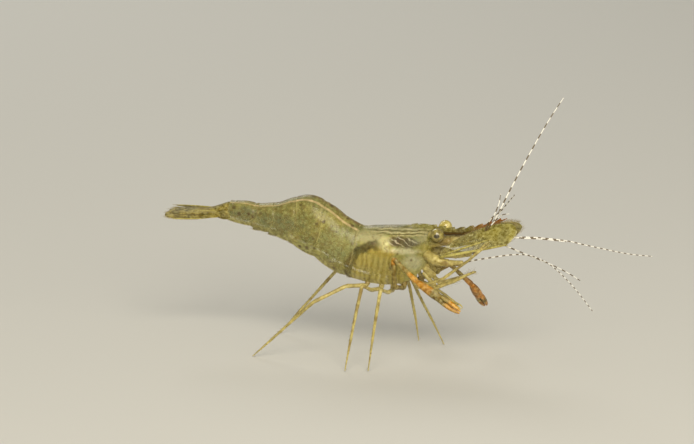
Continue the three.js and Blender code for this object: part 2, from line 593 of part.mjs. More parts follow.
for (const side of SIDES) {
  place(`eye_${side}`, eye(side), EYE_CORNEA);
  place(`eyestalk_${side}`, eyestalk(side), SHELL);
  place(`antennule_${side}`, antennulePeduncle(side), LIMB);
  place(`antenna_base_${side}`, antennaBase(side), LIMB);
  place(`antennal_scale_${side}`, antennalScale(side), FIN);
  place(`maxilliped_${side}`, bodyLimb(MAXILLIPED[side], MAXILLIPED.radii).subtract(mouthShape(GAP)), LIMB);
  place(`leg_1_${side}`, bodyLimb(FIRST_LEG[side], FIRST_LEG.radii), LIMB);
  const clawArm = parted(bodyLimb(CLAW_ARM[side], CLAW_ARM.radii), CLAW_ARM[side], ELBOW);
  place(`claw_arm_${side}_upper`, clawArm[0], LIMB);
  place(`claw_arm_${side}_lower`, clawArm[1], CLAW_ORANGE);
  place(`claw_${side}`, pincer(CLAW[side]), CLAW_ORANGE);
  place(`uropod_base_${side}`, uropodBase(side), SHELL);
  for (const kind of Object.keys(PADDLES)) place(`${kind}_${side}`, paddle(kind, side), FIN);
}
for (const [name, points] of Object.entries(FLAGELLA)) {
  if (name.startsWith("antennule")) {
    place(name, flagellum(name), FEELER);
    continue;
  }
  const [near, far] = parted(flagellum(name), points, ANTENNA_CUT);
  place(`${name}_near`, near, FEELER);
  place(`${name}_far`, far, FEELER);
}
for (const [name, points] of Object.entries(LEGS)) {
  const [upper, lower] = parted(walkingLeg(name), points, KNEE);
  place(`${name}_upper`, upper, LIMB);
  place(`${name}_lower`, lower, LIMB);
}

const bounds = new THREE.Box3().setFromObject(shrimp);
const middle = bounds.getCenter(new THREE.Vector3());
shrimp.position.set(-middle.x, -middle.y, -FLOOR);

export default shrimp;
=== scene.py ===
"""A freshwater glass shrimp, life size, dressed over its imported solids.

Every piece is drawn in millimetres from the nape, the point on the back where the
carapace meets the abdomen. +X is forward, +Y the animal's left and +Z up.
settle() sets a finished piece down in the frame's metres.
"""

import math
import random

import bmesh
import bpy
import numpy as np
from mathutils import Matrix, Vector


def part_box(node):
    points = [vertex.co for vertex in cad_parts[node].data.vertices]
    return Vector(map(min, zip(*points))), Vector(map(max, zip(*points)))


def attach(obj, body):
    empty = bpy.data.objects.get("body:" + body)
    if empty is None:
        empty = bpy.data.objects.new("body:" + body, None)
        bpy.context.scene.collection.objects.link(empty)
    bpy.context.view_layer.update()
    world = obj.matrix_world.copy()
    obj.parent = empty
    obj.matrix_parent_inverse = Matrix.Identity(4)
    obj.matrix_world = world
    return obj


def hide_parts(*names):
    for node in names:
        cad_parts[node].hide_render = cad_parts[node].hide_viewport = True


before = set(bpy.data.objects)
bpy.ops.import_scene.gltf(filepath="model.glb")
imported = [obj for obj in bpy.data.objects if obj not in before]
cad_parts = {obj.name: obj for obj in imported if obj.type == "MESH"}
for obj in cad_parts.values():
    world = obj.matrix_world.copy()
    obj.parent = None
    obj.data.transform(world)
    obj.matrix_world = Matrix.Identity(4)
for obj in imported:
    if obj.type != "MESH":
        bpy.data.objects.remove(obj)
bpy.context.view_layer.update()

MM = 0.001

# ---- Where the nape is ----------------------------------------------------------------------

EYE = {"centre": (12.0, 2.35, 0.0), "radius": 1.0}
eye_low, eye_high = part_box("eye_left")
NAPE = (eye_low + eye_high) / 2 - Vector(EYE["centre"]) * MM
TO_FRAME = Matrix.Translation(NAPE) @ Matrix.Scale(MM, 4)

# ---- Measures of the body -------------------------------------------------------------------

# Stations from head to tail: back x, z; lower margin x, z; half width; waist.
STATIONS = (
    (10.9, 0.45, 10.7, -3.3, 1.55, 0.55),
    (10.0, 0.6, 10.0, -4.9, 2.2, 0.55),
    (8.0, 0.55, 7.9, -7.0, 2.85, 0.55),
    (5.2, 0.4, 5.2, -7.8, 3.15, 0.58),
    (2.4, 0.15, 2.4, -7.8, 3.15, 0.58),
    (0.2, 0.0, 0.0, -7.4, 3.0, 0.55),
    (-2.1, 1.15, -2.0, -7.0, 2.9, 0.55),
    (-4.1, 2.55, -4.0, -6.1, 2.8, 0.52),
    (-6.2, 3.6, -6.2, -4.9, 2.65, 0.5),
    (-8.1, 3.8, -8.2, -3.9, 2.45, 0.5),
    (-9.9, 3.3, -9.8, -3.1, 2.25, 0.5),
    (-12.0, 2.5, -11.8, -2.3, 1.95, 0.5),
    (-14.6, 2.1, -14.4, -1.6, 1.65, 0.5),
    (-17.1, 2.25, -17.2, -0.9, 1.4, 0.5),
    (-19.3, 2.2, -19.6, -0.5, 1.25, 0.5),
)
LAST_STATION = len(STATIONS) - 1

# Rear edges of the carapace and of the first five rings, seen from the side, top to bottom.
PLATE_EDGES = (
    ((0.1, 2), (0.0, 0), (-0.1, -2.2), (-0.6, -4.4), (-1.0, -6.0), (-0.6, -7.2), (0.6, -8.6)),
    ((-2.1, 4), (-2.0, 1.3), (-1.95, -1.5), (-1.75, -4.2), (-1.7, -6.0), (-1.5, -8.4)),
    ((-4.8, 5.5), (-4.8, 3.1), (-5.1, 0), (-5.7, -2.6), (-6.2, -4.4), (-5.6, -7.0)),
    ((-9.4, 6), (-9.3, 3.6), (-8.9, 1.8), (-9.2, -0.2), (-10.2, -2.0), (-10.0, -4.6)),
    ((-12.7, 5), (-12.6, 2.4), (-12.4, 1.0), (-12.8, -0.6), (-13.4, -1.6), (-13.1, -3.4)),
    ((-15.3, 5), (-15.3, 2.2), (-15.0, 1.2), (-15.3, 0), (-16.1, -0.8), (-15.9, -2.6)),
)
RING_COUNT = 6
ROOF_SHARE = 0.5  # share of a plate's arc that is roof; the rest hangs down the flank
TUCK = 0.3  # how far a flank draws in at its lower margin
SHELL_THICK = 0.09
CORE_SHARE = 0.84  # how far down the flesh reaches between the flanks

# ---- Measures of the head -------------------------------------------------------------------

ROSTRUM_TOP = (
    (5.6, 0.35), (8.4, 0.65), (11.0, 0.65), (13.7, 0.45), (15.8, 0.7), (17.8, 1.2), (19.6, 1.8),
    (21.6, 2.6),
)
ROSTRUM_LOW = (
    (5.6, -0.3), (8.4, -0.5), (11.4, -0.7), (13.4, -0.5), (15.2, -0.3), (17.2, 0.25), (19.2, 1.15),
    (21.6, 2.5),
)
TOP_TEETH = {"from": 7.4, "to": 19.8, "count": 10, "height": 0.34, "length": 0.85}
LOW_TEETH = {"from": 14.6, "to": 19.6, "count": 4, "height": 0.27, "length": 0.75}

STALK = ((10.2, 0.6, -0.6), (11.0, 1.15, -0.4), (11.6, 1.8, -0.15), (12.0, 2.2, -0.03))
ANTENNULE = ((10.4, 0.75, -1.75), (13.6, 0.85, -1.15), (15.9, 0.8, -0.6), (18.5, 0.75, 0.2))
ANTENNA_BASE = ((10.2, 1.5, -3.2), (12.0, 2.3, -3.8), (13.8, 2.45, -4.0), (15.9, 2.5, -3.75))
SCALE_HEEL = (12.6, 3.0, -3.1)
SCALE_SPINE = (22.5, 2.65, -0.6)
SCALE_ACROSS = (0, -0.6, 0.8)
# The scale's outline: distance from the heel, then its outer and inner edge across the blade.
SCALE_OUTLINE = (
    (0.0, 0.0, 0.5), (0.9, 0.0, 1.5), (2.5, 0.0, 2.35), (4.5, 0.0, 3.0), (6.5, 0.0, 3.4), (8.2, 0.0, 3.6),
    (9.5, 0.05, 3.62), (10.1, 0.45, 3.58), (10.7, 0.95, 3.42), (11.2, 1.5, 3.15), (11.45, 2.1, 2.75),
)

FLAGELLA = {
    "antennule_outer_flagellum_left": (
        (18.5, 0.9, 0.45), (19.6, 1.1, 2.05), (21.4, 1.7, 5.95), (23.6, 2.4, 10.5), (26.4, 3.2, 15.9),
        (28.7, 3.6, 19.75)),
    "antennule_inner_flagellum_left": (
        (18.6, 0.6, -0.05), (20.4, 1.0, -0.35), (22.7, 2.1, -0.75), (26.0, 4.0, -1.2), (28.9, 6.0, -1.9)),
    "antennule_outer_flagellum_right": (
        (18.5, -0.95, 0.5), (19.5, -1.2, 2.6), (21.4, -3.4, 4.4), (23.2, -6.2, 6.6), (24.9, -9.4, 8.6)),
    "antennule_inner_flagellum_right": (
        (18.6, -0.6, -0.1), (20.2, -0.9, -0.5), (22.6, -2.0, -1.15), (28.6, -6.0, -1.7), (32.2, -8.5, -2.2),
        (34.6, -10.5, -2.7)),
    "antenna_flagellum_left": (
        (15.9, 2.5, -3.7), (19.0, 3.3, -2.5), (22.2, 4.3, -1.3), (27.6, 7.5, -2.1), (31.2, 10.5, -3.5),
        (35.6, 15.7, -5.7), (38.7, 19.3, -6.85)),
    "antenna_flagellum_right": (
        (15.9, -2.5, -3.7), (19.0, -3.2, -2.7), (24.9, -5.0, -1.15), (29.5, -9.0, -0.9), (34.0, -14.0, -2.2),
        (38.4, -19.4, -4.35)),
}
BRANCH_LEAN = {"left": (-1.3, 0.5, -0.4), "right": (1.2, 0.4, -0.3)}
FLAGELLUM_RADIUS = (0.15, 0.07)  # at the root and at the tip

# ---- Measures of the limbs, joint by joint from the body to the tip -----------------------------

MAXILLIPED = {
    "left": ((9.6, 0.8, -6.0), (11.5, 1.4, -8.1), (14.3, 1.8, -7.2), (16.8, 1.5, -6.0)),
    "right": ((9.6, -0.8, -6.0), (11.6, -1.35, -8.0), (14.6, -1.7, -6.6), (17.3, -1.6, -5.1)),
}
FIRST_LEG = {
    "left": (
        (8.3, 1.0, -6.0), (8.8, 1.9, -8.3), (9.8, 3.0, -9.0), (12.3, 2.5, -10.3), (13.3, 2.1, -10.9),
        (14.8, 1.6, -11.7),
    ),
    "right": (
        (8.3, -1.0, -6.0), (8.9, -1.9, -8.1), (13.1, -3.3, -6.1), (17.2, -4.5, -2.7),
        (18.4, -4.8, -1.5), (20.3, -5.0, 0.3),
    ),
}
CLAW_ARM = {
    "left": (
        (7.0, 1.1, -6.0), (7.4, 2.1, -8.3), (9.8, 3.4, -7.4), (12.2, 4.1, -5.9), (13.2, 4.3, -6.9),
        (15.3, 4.85, -8.95),
    ),
    "right": (
        (7.0, -1.1, -6.0), (7.1, -2.1, -8.2), (6.4, -4.5, -7.5), (6.2, -4.8, -3.2), (7.3, -5.1, -4.0),
        (10.05, -6.02, -6.02),
    ),
}
CLAW = {
    "left": {"wrist": (15.3, 4.85, -8.95), "tip": (16.2, 9.7, -13.4), "spread": (1, 0, 0.2)},
    "right": {"wrist": (10.05, -6.02, -6.02), "tip": (16.7, -7.2, -9.7), "spread": (0.2, 0, 1)},
}
WALKING_LEGS = {
    "leg_3_right": (
        (5.4, -1.1, -6.0), (5.5, -2.2, -8.6), (5.5, -5.0, -8.2), (5.2, -7.7, -7.1), (4.7, -8.0, -10.5),
        (4.1, -8.3, -15.0), (3.55, -8.3, -19.1),
    ),
    "leg_4_right": (
        (3.9, -1.1, -6.0), (3.8, -2.3, -8.5), (3.0, -4.8, -8.1), (2.3, -7.0, -6.9), (1.7, -7.6, -10.2),
        (0.9, -8.5, -15.3), (0.35, -9.1, -19.1),
    ),
    "leg_5_right": (
        (2.4, -1.1, -6.0), (1.6, -2.3, -8.2), (-1.0, -3.8, -8.1), (-5.2, -6.0, -10.2),
        (-7.6, -6.0, -12.5), (-12.0, -5.9, -16.8), (-14.4, -5.8, -19.1),
    ),
    "leg_3_left": (
        (5.4, 1.1, -6.0), (5.5, 2.2, -8.7), (5.6, 4.2, -9.4), (5.9, 6.2, -9.0), (7.0, 6.8, -11.8),
        (9.0, 7.0, -15.6), (10.7, 7.2, -19.1),
    ),
    "leg_4_left": (
        (3.9, 1.1, -6.0), (3.9, 2.3, -8.6), (4.4, 4.9, -8.7), (4.7, 7.2, -8.0), (5.3, 7.8, -11.0),
        (6.1, 8.1, -15.5), (6.6, 8.2, -19.1),
    ),
    "leg_5_left": (
        (2.4, 1.1, -6.0), (1.8, 2.3, -8.5), (-1.4, 4.2, -8.4), (-4.5, 5.5, -7.9), (-6.9, 5.8, -10.7),
        (-11.4, 6.1, -16.0), (-13.9, 6.3, -19.1),
    ),
}

# Radii at the limbs' joints, from the body to the tip.
MAXILLIPED_RADII = (0.42, 0.42, 0.34, 0.14)
FIRST_LEG_RADII = (0.38, 0.34, 0.28, 0.22, 0.28, 0.3)
CLAW_ARM_RADII = (0.46, 0.42, 0.4, 0.44, 0.34, 0.46)
WALKING_LEG_RADII = (0.44, 0.4, 0.34, 0.31, 0.27, 0.2, 0.07)

# ---- Measures of the tail and the swimmerets ----------------------------------------------------

TELSON = {"root": (-19.2, 0, 1.42), "tip": (-27.4, 0, 0.6), "half": 1.0, "dip": 0.5}
PADDLES = {
    "uropod_inner": {"root": (-20.6, 0.95, 0.65), "tip": (-28.2, 1.7, 0.5), "width": 2.2, "tilt": 0.22},
    "uropod_outer": {"root": (-20.6, 1.35, 0.25), "tip": (-28.5, 2.7, 0.2), "width": 2.4, "tilt": 0.3},
}
UROPOD_BASE = ((-19.2, 0.8, 0.4), (-20.2, 1.1, 0.3), (-21.4, 1.3, 0.35))
# Root of each pair at its ring, slope, length, leaf width and distance from the middle.
SWIMMERETS = (
    ((-1.1, -6.3), 0.3, 2.6, 1.2, 1.15),
    ((-4.0, -5.0), 0.42, 3.0, 1.3, 1.1),
    ((-7.3, -3.4), 0.26, 3.3, 1.2, 1.0),
    ((-11.0, -2.2), 0.14, 2.5, 0.95, 0.68),
    ((-13.9, -1.6), 0.12, 1.9, 0.75, 0.52),
)

SIDES = {"left": 1, "right": -1}
chance = random.Random(7)


# ---- Drawing tools ------------------------------------------------------------------------------

def sideways(point, side):
    """A point given for the left side, on the named side."""
    return Vector((point[0], point[1] * SIDES[side], point[2]))


def through(values, u):
    """A smooth value through a row of numbers, at u counted in steps of the row."""
    i = min(int(u), len(values) - 2)
    t = u - i
    p1, p2 = values[i], values[i + 1]
    p0 = values[i - 1] if i > 0 else 2 * p1 - p2
    p3 = values[i + 2] if i + 2 < len(values) else 2 * p2 - p1
    bend = 2 * p0 - 5 * p1 + 4 * p2 - p3
    twist = 3 * p1 - p0 - 3 * p2 + p3
    return 0.5 * (2 * p1 + (p2 - p0) * t + bend * t * t + twist * t ** 3)


def along_points(points, share):
    """The point at a share, 0 to 1, of a smooth line through points."""
    u = share * (len(points) - 1)
    return Vector([through([p[axis] for p in points], u) for axis in range(3)])


def object_mode():
    """Leaves edit mode, with nothing selected."""
    if bpy.context.mode != "OBJECT":
        bpy.ops.object.mode_set(mode="OBJECT")
    bpy.ops.object.select_all(action="DESELECT")


def begin(name):
    """A new piece with an empty mesh, open in edit mode."""
    object_mode()
    piece = bpy.data.objects.new(name, bpy.data.meshes.new(name))
    bpy.context.collection.objects.link(piece)
    bpy.context.view_layer.objects.active = piece
    piece.select_set(True)
    bpy.ops.object.mode_set(mode="EDIT")
    return piece


def alone(piece):
    """Makes a piece the only one selected, in object mode."""
    object_mode()
    piece.select_set(True)
    bpy.context.view_layer.objects.active = piece


def select_vertices(piece, first, end):
    """Selects the vertices from index first up to end, with their edges."""
    shape = bmesh.from_edit_mesh(piece.data)
    for vertex in shape.verts:
        vertex.select = first <= vertex.index < end
    shape.select_flush_mode()
    bmesh.update_edit_mesh(piece.data)


def modify(piece, kind, **settings):
    """Adds a modifier and applies it."""
    alone(piece)
    bpy.ops.object.modifier_add(type=kind)
    modifier = piece.modifiers[-1]
    for key, value in settings.items():
        setattr(modifier, key, value)
    bpy.ops.object.modifier_apply(modifier=modifier.name)


def soften(piece, levels):
    """Rounds a piece by subdividing its faces."""
    modify(piece, "SUBSURF", levels=levels, render_levels=levels)


def turned(along, across):
    """A turn whose third axis points along, and whose first axis is as near across as can be."""
    z = along.normalized()
    x = (across - z * across.dot(z)).normalized()
    return Matrix((x, z.cross(x), z)).transposed()


def tube(name, line, sides=12, across=(0, 0, 1), levels=1, facing=None):
    """A closed tube through rings: (centre, half width, half height) from root to tip.

    Each ring is a circle set at its place, flattened, and bridged to the one before.
    It faces along the line, or the way given as facing.
    The length from the root to each ring is kept in the attribute "along", in millimetres."""
    piece = begin(name)
    centres = [Vector(centre) for centre, _, _ in line]
    across = Vector(across)
    reach = [0.0]
    for k, (_, wide, deep) in enumerate(line):
        ahead = centres[min(k + 1, len(line) - 1)] - centres[k]
        back = centres[k] - centres[max(k - 1, 0)]
        way = ahead.normalized() + back.normalized()
        turn = turned(Vector(facing) if facing else way, across)
        across = turn.col[0].copy()
        if k:
            reach.append(reach[-1] + back.length)
        bpy.ops.mesh.primitive_circle_add(
            vertices=sides, radius=1, location=centres[k], rotation=turn.to_euler(),
        )
        bpy.ops.transform.resize(
            value=(wide, deep, 1), orient_type="GLOBAL", orient_matrix=turn,
            orient_matrix_type="GLOBAL", center_override=centres[k],
        )
        if k:
            select_vertices(piece, (k - 1) * sides, (k + 1) * sides)
            bpy.ops.mesh.bridge_edge_loops()
    for first in (0, (len(line) - 1) * sides):
        select_vertices(piece, first, first + sides)
        bpy.ops.mesh.edge_face_add()
    bpy.ops.mesh.select_all(action="SELECT")
    bpy.ops.mesh.normals_make_consistent(inside=False)
    bpy.ops.object.mode_set(mode="OBJECT")
    marks = piece.data.attributes.new("along", "FLOAT", "POINT")
    marks.data.foreach_set("value", np.repeat(reach, sides).astype(np.float32))
    if levels:
        soften(piece, levels)
    return piece


def rod(name, root, tip, radii):
    """A straight rod or spine; radii holds (share of the length, radius)."""
    return tube(name, [(Vector(root).lerp(tip, share), r, r) for share, r in radii], sides=8)


def sheet_of_plate(name, columns, rows, place):
    """A sheet from a grid whose every vertex goes to place(u, v), u and v from 0 to 1.

    The grid's own UV map keeps u and v."""
    object_mode()
    bpy.ops.mesh.primitive_grid_add(x_subdivisions=columns, y_subdivisions=rows, size=1, calc_uvs=True)
    piece = bpy.context.object
    piece.name = name
    for vertex in piece.data.vertices:
        vertex.co = place(vertex.co.x + 0.5, vertex.co.y + 0.5)
    return piece


def joined(name, pieces):
    """Several pieces as one."""
    alone(pieces[0])
    for piece in pieces[1:]:
        piece.select_set(True)
    if len(pieces) > 1:
        bpy.ops.object.join()
    pieces[0].name = name
    pieces[0].data.name = name
    return pieces[0]


def settle(piece, look, slot, *nodes, angle=50):
    """Sets a finished piece down in the frame, with its material, and hides the solids it stands for; slot is
    not used.
    """
    alone(piece)
    piece.data.transform(TO_FRAME)
    piece.data.materials.clear()
    piece.data.materials.append(look)
    bpy.ops.object.shade_smooth_by_angle(angle=math.radians(angle))
    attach(piece, "root")
    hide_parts(*nodes)
    return piece


# An article's end rings keep this far from its joints, as shares of its length.
NEAREST_RING, FARTHEST_RING = 0.06, 0.3
JOINT_NIP = 0.8


def article_line(joints, radii, squeeze=0.9):
    """Rings of a jointed limb: each article starts narrow, swells at its far end and nips in at the joint."""
    joints = [Vector(p) for p in joints]
    links = [b - a for a, b in zip(joints, joints[1:])]
    last = len(links) - 1

    def clear_of_bend(i, k):
        """The share of article i that a ring keeps from joint k, so that it doesn't cut into the bend."""
        length = links[i].length
        near = NEAREST_RING * length
        if 0 < k <= last:
            bend = links[k - 1].angle(links[k])
            near = min(FARTHEST_RING * length, max(near, radii[k] * math.tan(bend / 2)))
        return near / length

    line = [(joints[0], radii[0] * squeeze, radii[0])]
    for i, link in enumerate(links):
        start = clear_of_bend(i, i)
        end = 1 - clear_of_bend(i, i + 1)
        swells = (start, 0.98), (start + 0.12, 0.95), (0.5, 0.86), (end - 0.12, 0.98), (end - 0.02, 1.08)
        for share, swell in swells:
            if i == last and share > 0.5:
                swell = 1
            radius = (radii[i] + (radii[i + 1] - radii[i]) * share) * swell
            line.append((joints[i] + link * share, radius * squeeze, radius))
        nip = 1.0 if i == last else JOINT_NIP
        line.append((joints[i + 1], radii[i + 1] * nip * squeeze, radii[i + 1] * nip))
    return line


def hair_pattern():
    """One hair, modelled once: a thin pyramid one unit long, with a ring of points half way up."""
    object_mode()
    bpy.ops.mesh.primitive_cone_add(
        vertices=4, radius1=1, radius2=0.12, depth=1, location=(0, 0, 0.5), end_fill_type="NGON",
    )
    hair = bpy.context.object
    bpy.ops.object.transform_apply(location=True, rotation=True, scale=True)
    bpy.ops.object.mode_set(mode="EDIT")
    bpy.ops.mesh.select_all(action="SELECT")
    bpy.ops.mesh.subdivide(number_cuts=1, smoothness=0)
    bpy.ops.object.mode_set(mode="OBJECT")
    mesh = hair.data
    bpy.data.objects.remove(hair)
    return mesh


HAIR = hair_pattern()


def hairs(name, roots, thick):
    """Many hairs as one piece; roots holds (root, direction, length, lean of the tip) for each hair."""
    made = []
    for root, way, length, lean in roots:
        mesh = HAIR.copy()
        mesh.transform(Matrix.Diagonal((thick, thick, length, 1)))
        way = Vector(way).normalized()
        mesh.transform(Matrix.Translation(root) @ turned(way, way.orthogonal()).to_4x4())
        for vertex in mesh.vertices:
            share = (vertex.co - Vector(root)).length / length
            vertex.co += Vector(lean) * share * share * length
        piece = bpy.data.objects.new(name, mesh)
        bpy.context.collection.objects.link(piece)
        made.append(piece)
    return joined(name, made)


# ---- The body's surface -------------------------------------------------------------------------

def section(u):
    """The measures of the body at station u, smoothed between the rows of STATIONS."""
    return [through(column, u) for column in zip(*STATIONS)]


def skin(u, v, grow=0.0, margin=1.0):
    """A point of the body's surface at station u and arc v: -1 right margin, 0 back, 1 left margin."""
    back_x, back_z, margin_x, margin_z, half, waist = section(u)
    reach = min(abs(v) / ROOF_SHARE, 1.0)
    turn = reach * math.pi / 2
    across = math.sin(turn)
    share = waist * (1 - math.cos(turn))
    if abs(v) > ROOF_SHARE:
        drop = (abs(v) - ROOF_SHARE) / (1 - ROOF_SHARE)
        across = 1 - TUCK * drop ** 4
        share = waist + (1 - waist) * drop * margin
    return Vector((
        back_x + (margin_x - back_x) * share,
        math.copysign(half * across + grow * math.sin(turn), v),
        back_z + (margin_z - back_z) * share + grow * math.cos(turn),
    ))


EDGE_STEPS = 60
HALVINGS = 22


def edge_curve(points):
    """A plate edge as dense rows of z and x, z rising."""
    steps = [k / EDGE_STEPS * (len(points) - 1) for k in range(EDGE_STEPS + 1)]
    z = [through([p[1] for p in points], u) for u in steps]
    x = [through([p[0] for p in points], u) for u in steps]
    order = np.argsort(z)
    return np.array(z)[order], np.array(x)[order]


EDGE_CURVES = [edge_curve(points) for points in PLATE_EDGES]


def station_at(edge, v):
    """The station where the arc v of the body crosses a plate's edge."""
    z, x = EDGE_CURVES[edge]
    low, high = 0.0, float(LAST_STATION)
    for _ in range(HALVINGS):
        middle = (low + high) / 2
        point = skin(middle, v)
        if point.x > np.interp(point.z, z, x):
            low = middle
        else:
            high = middle
    return (low + high) / 2


# ---- Shared effects, as node groups ---------------------------------------------------------------

def tint(code):
    """A web colour as linear red, green, blue, alpha."""
    parts = [int(code[i:i + 2], 16) / 255 for i in (0, 2, 4)]
    return tuple(c / 12.92 if c <= 0.04045 else ((c + 0.055) / 1.055) ** 2.4 for c in parts) + (1.0,)


class Bench:
    """A node tree to build in: each call adds one node and wires its inputs."""

    def __init__(self, tree):
        self.tree = tree

    def wire(self, value, socket):
        """Links a socket, or sets a web colour or a number."""
        if isinstance(value, bpy.types.NodeSocket):
            self.tree.links.new(value, socket)
        elif isinstance(value, str):
            socket.default_value = tint(value)
        elif value is not None:
            socket.default_value = value

    def node(self, kind, inputs=None, **settings):
        made = self.tree.nodes.new(kind)
        for key, value in settings.items():
            setattr(made, key, value)
        for key, value in (inputs or {}).items():
            self.wire(value, made.inputs[key])
        return made

    def math(self, operation, a, b=None, c=None, clamp=False):
        made = self.node("ShaderNodeMath", {0: a}, operation=operation, use_clamp=clamp)
        for index, value in ((1, b), (2, c)):
            if value is not None:
                self.wire(value, made.inputs[index])
        return made.outputs[0]

    def times(self, *values):
        """The product of masks and numbers."""
        product = values[0]
        for value in values[1:]:
            product = self.math("MULTIPLY", product, value)
        return product

    def most(self, *values):
        """The highest of masks."""
        highest = values[0]
        for value in values[1:]:
            highest = self.math("MAXIMUM", highest, value)
        return highest

    def vector(self, operation, a, b=None):
        made = self.node("ShaderNodeVectorMath", {0: a}, operation=operation)
        if b is not None:
            self.wire(b, made.inputs[1])
        return made.outputs["Value" if operation in ("LENGTH", "DOT_PRODUCT") else "Vector"]

    def between(self, value, low, high):
        """0 below low, 1 above high, smooth between; low may be above high."""
        made = self.node("ShaderNodeMapRange", {"Value": value, "From Min": low, "From Max": high},
                         interpolation_type="SMOOTHSTEP")
        return made.outputs["Result"]

    def mix(self, share, a, b, blend="MIX"):
        made = self.node("ShaderNodeMix", data_type="RGBA", blend_type=blend)
        for key, value in ((0, share), (6, a), (7, b)):
            self.wire(value, made.inputs[key])
        return made.outputs[2]

    def noise(self, coordinates, scale, detail=3.0, roughness=0.55):
        made = self.node("ShaderNodeTexNoise", {
            "Vector": coordinates, "Scale": scale, "Detail": detail, "Roughness": roughness})
        return made.outputs["Fac"]

    def millimetres(self):
        """Object coordinates, counted in millimetres from the nape."""
        place = self.node("ShaderNodeTexCoord").outputs["Object"]
        turned_to_mm = {"Vector": place, "Location": tuple(-NAPE / MM), "Scale": (1 / MM,) * 3}
        return self.node("ShaderNodeMapping", turned_to_mm, vector_type="POINT").outputs[0]

    def parts(self, vector):
        """The x, y and z of a vector."""
        return self.node("ShaderNodeSeparateXYZ", {0: vector}).outputs

    def group(self, tree, inputs=None):
        """Places a shared effect, with its own values, and gives its outputs."""
        made = self.node("ShaderNodeGroup", node_tree=tree)
        for key, value in (inputs or {}).items():
            self.wire(value, made.inputs[key])
        return made.outputs


def new_group(name, inputs, outputs):
    """An empty node group. inputs names its sockets and their values: web colours, triples or numbers.

    outputs names what it gives: "Color" is a colour, and every other name is a mask."""
    tree = bpy.data.node_groups.new(name, "ShaderNodeTree")
    kinds = {str: "NodeSocketColor", tuple: "NodeSocketVector", float: "NodeSocketFloat"}
    for key, value in inputs.items():
        socket = tree.interface.new_socket(key, in_out="INPUT", socket_type=kinds[type(value)])
        socket.default_value = tint(value) if isinstance(value, str) else value
    for key in outputs:
        kind = "NodeSocketColor" if key == "Color" else "NodeSocketFloat"
        tree.interface.new_socket(key, in_out="OUTPUT", socket_type=kind)
    bench = Bench(tree)
    taken = bench.node("NodeGroupInput").outputs
    given = bench.node("NodeGroupOutput").inputs
    return tree, bench, taken, given


def shifted_by_noise(bench, place, scale, reach):
    """Coordinates pushed about, so that what is drawn on them isn't regular."""
    wobble = bench.node("ShaderNodeTexNoise", {"Vector": place, "Scale": scale, "Detail": 2.0})
    reached = {0: wobble.outputs["Color"], "Scale": reach}
    push = bench.node("ShaderNodeVectorMath", reached, operation="SCALE").outputs[0]
    return bench.vector("ADD", place, push)


def freckles_group():
    """Pigment cells: small dots of uneven size, with short arms."""
    sprinkle = {"Scale": 1.6, "Size": 0.2, "Share": 0.5}
    tree, bench, taken, given = new_group("pigment freckles", sprinkle, ["Mask"])
    place = shifted_by_noise(bench, bench.millimetres(), 5.0, 0.22)
    cells = bench.node("ShaderNodeTexVoronoi", {"Vector": place, "Scale": taken["Scale"]})
    pick = bench.node("ShaderNodeSeparateColor", {0: cells.outputs["Color"]}).outputs
    radius = bench.times(taken["Size"], bench.math("ADD", pick[1], 0.35))
    dot = bench.between(cells.outputs["Distance"], radius, bench.times(radius, 0.45))
    shown = bench.math("LESS_THAN", pick[0], taken["Share"])
    bench.wire(bench.times(dot, shown), given["Mask"])
    return tree


def net_group():
    """A loose net of pigment, with thin ragged strands that come and go."""
    mesh = {"Scale": 0.8, "Strand": 0.1, "Share": 0.5}
    tree, bench, taken, given = new_group("pigment net", mesh, ["Mask"])
    place = bench.millimetres()
    bent = {"Vector": shifted_by_noise(bench, place, 1.7, 1.3), "Scale": taken["Scale"]}
    cells = bench.node("ShaderNodeTexVoronoi", bent, feature="DISTANCE_TO_EDGE")
    strand = bench.between(cells.outputs["Distance"], taken["Strand"], bench.times(taken["Strand"], 0.25))
    start = bench.math("SUBTRACT", 0.75, bench.times(taken["Share"], 0.5))
    shown = bench.between(bench.noise(place, 0.75, 4.0, 0.65), start, bench.math("ADD", start, 0.12))
    bench.wire(bench.times(strand, shown), given["Mask"])
    return tree


def mottle_group():
    """Two colours that cloud into each other, with a finer grain over them."""
    given_tones = {"First": "aaa37f", "Second": "8f9a8f", "Scale": 0.3, "Grain": 0.25}
    tree, bench, taken, given = new_group("mottled colour", given_tones, ["Color"])
    place = bench.millimetres()
    cloud = bench.between(bench.noise(place, taken["Scale"], 4.0, 0.6), 0.38, 0.62)
    color = bench.mix(cloud, taken["First"], taken["Second"])
    grain = bench.between(bench.noise(place, 2.1, 4.0, 0.7), 0.36, 0.66)
    dark = bench.mix(1.0, color, "aea68c", "MULTIPLY")
    pale = bench.mix(0.4, color, "ece4bc")
    grained = bench.mix(taken["Grain"], color, bench.mix(grain, dark, pale))
    bench.wire(bench.mix(1.0, grained, "fbffe0", "MULTIPLY"), given["Color"])
    return tree


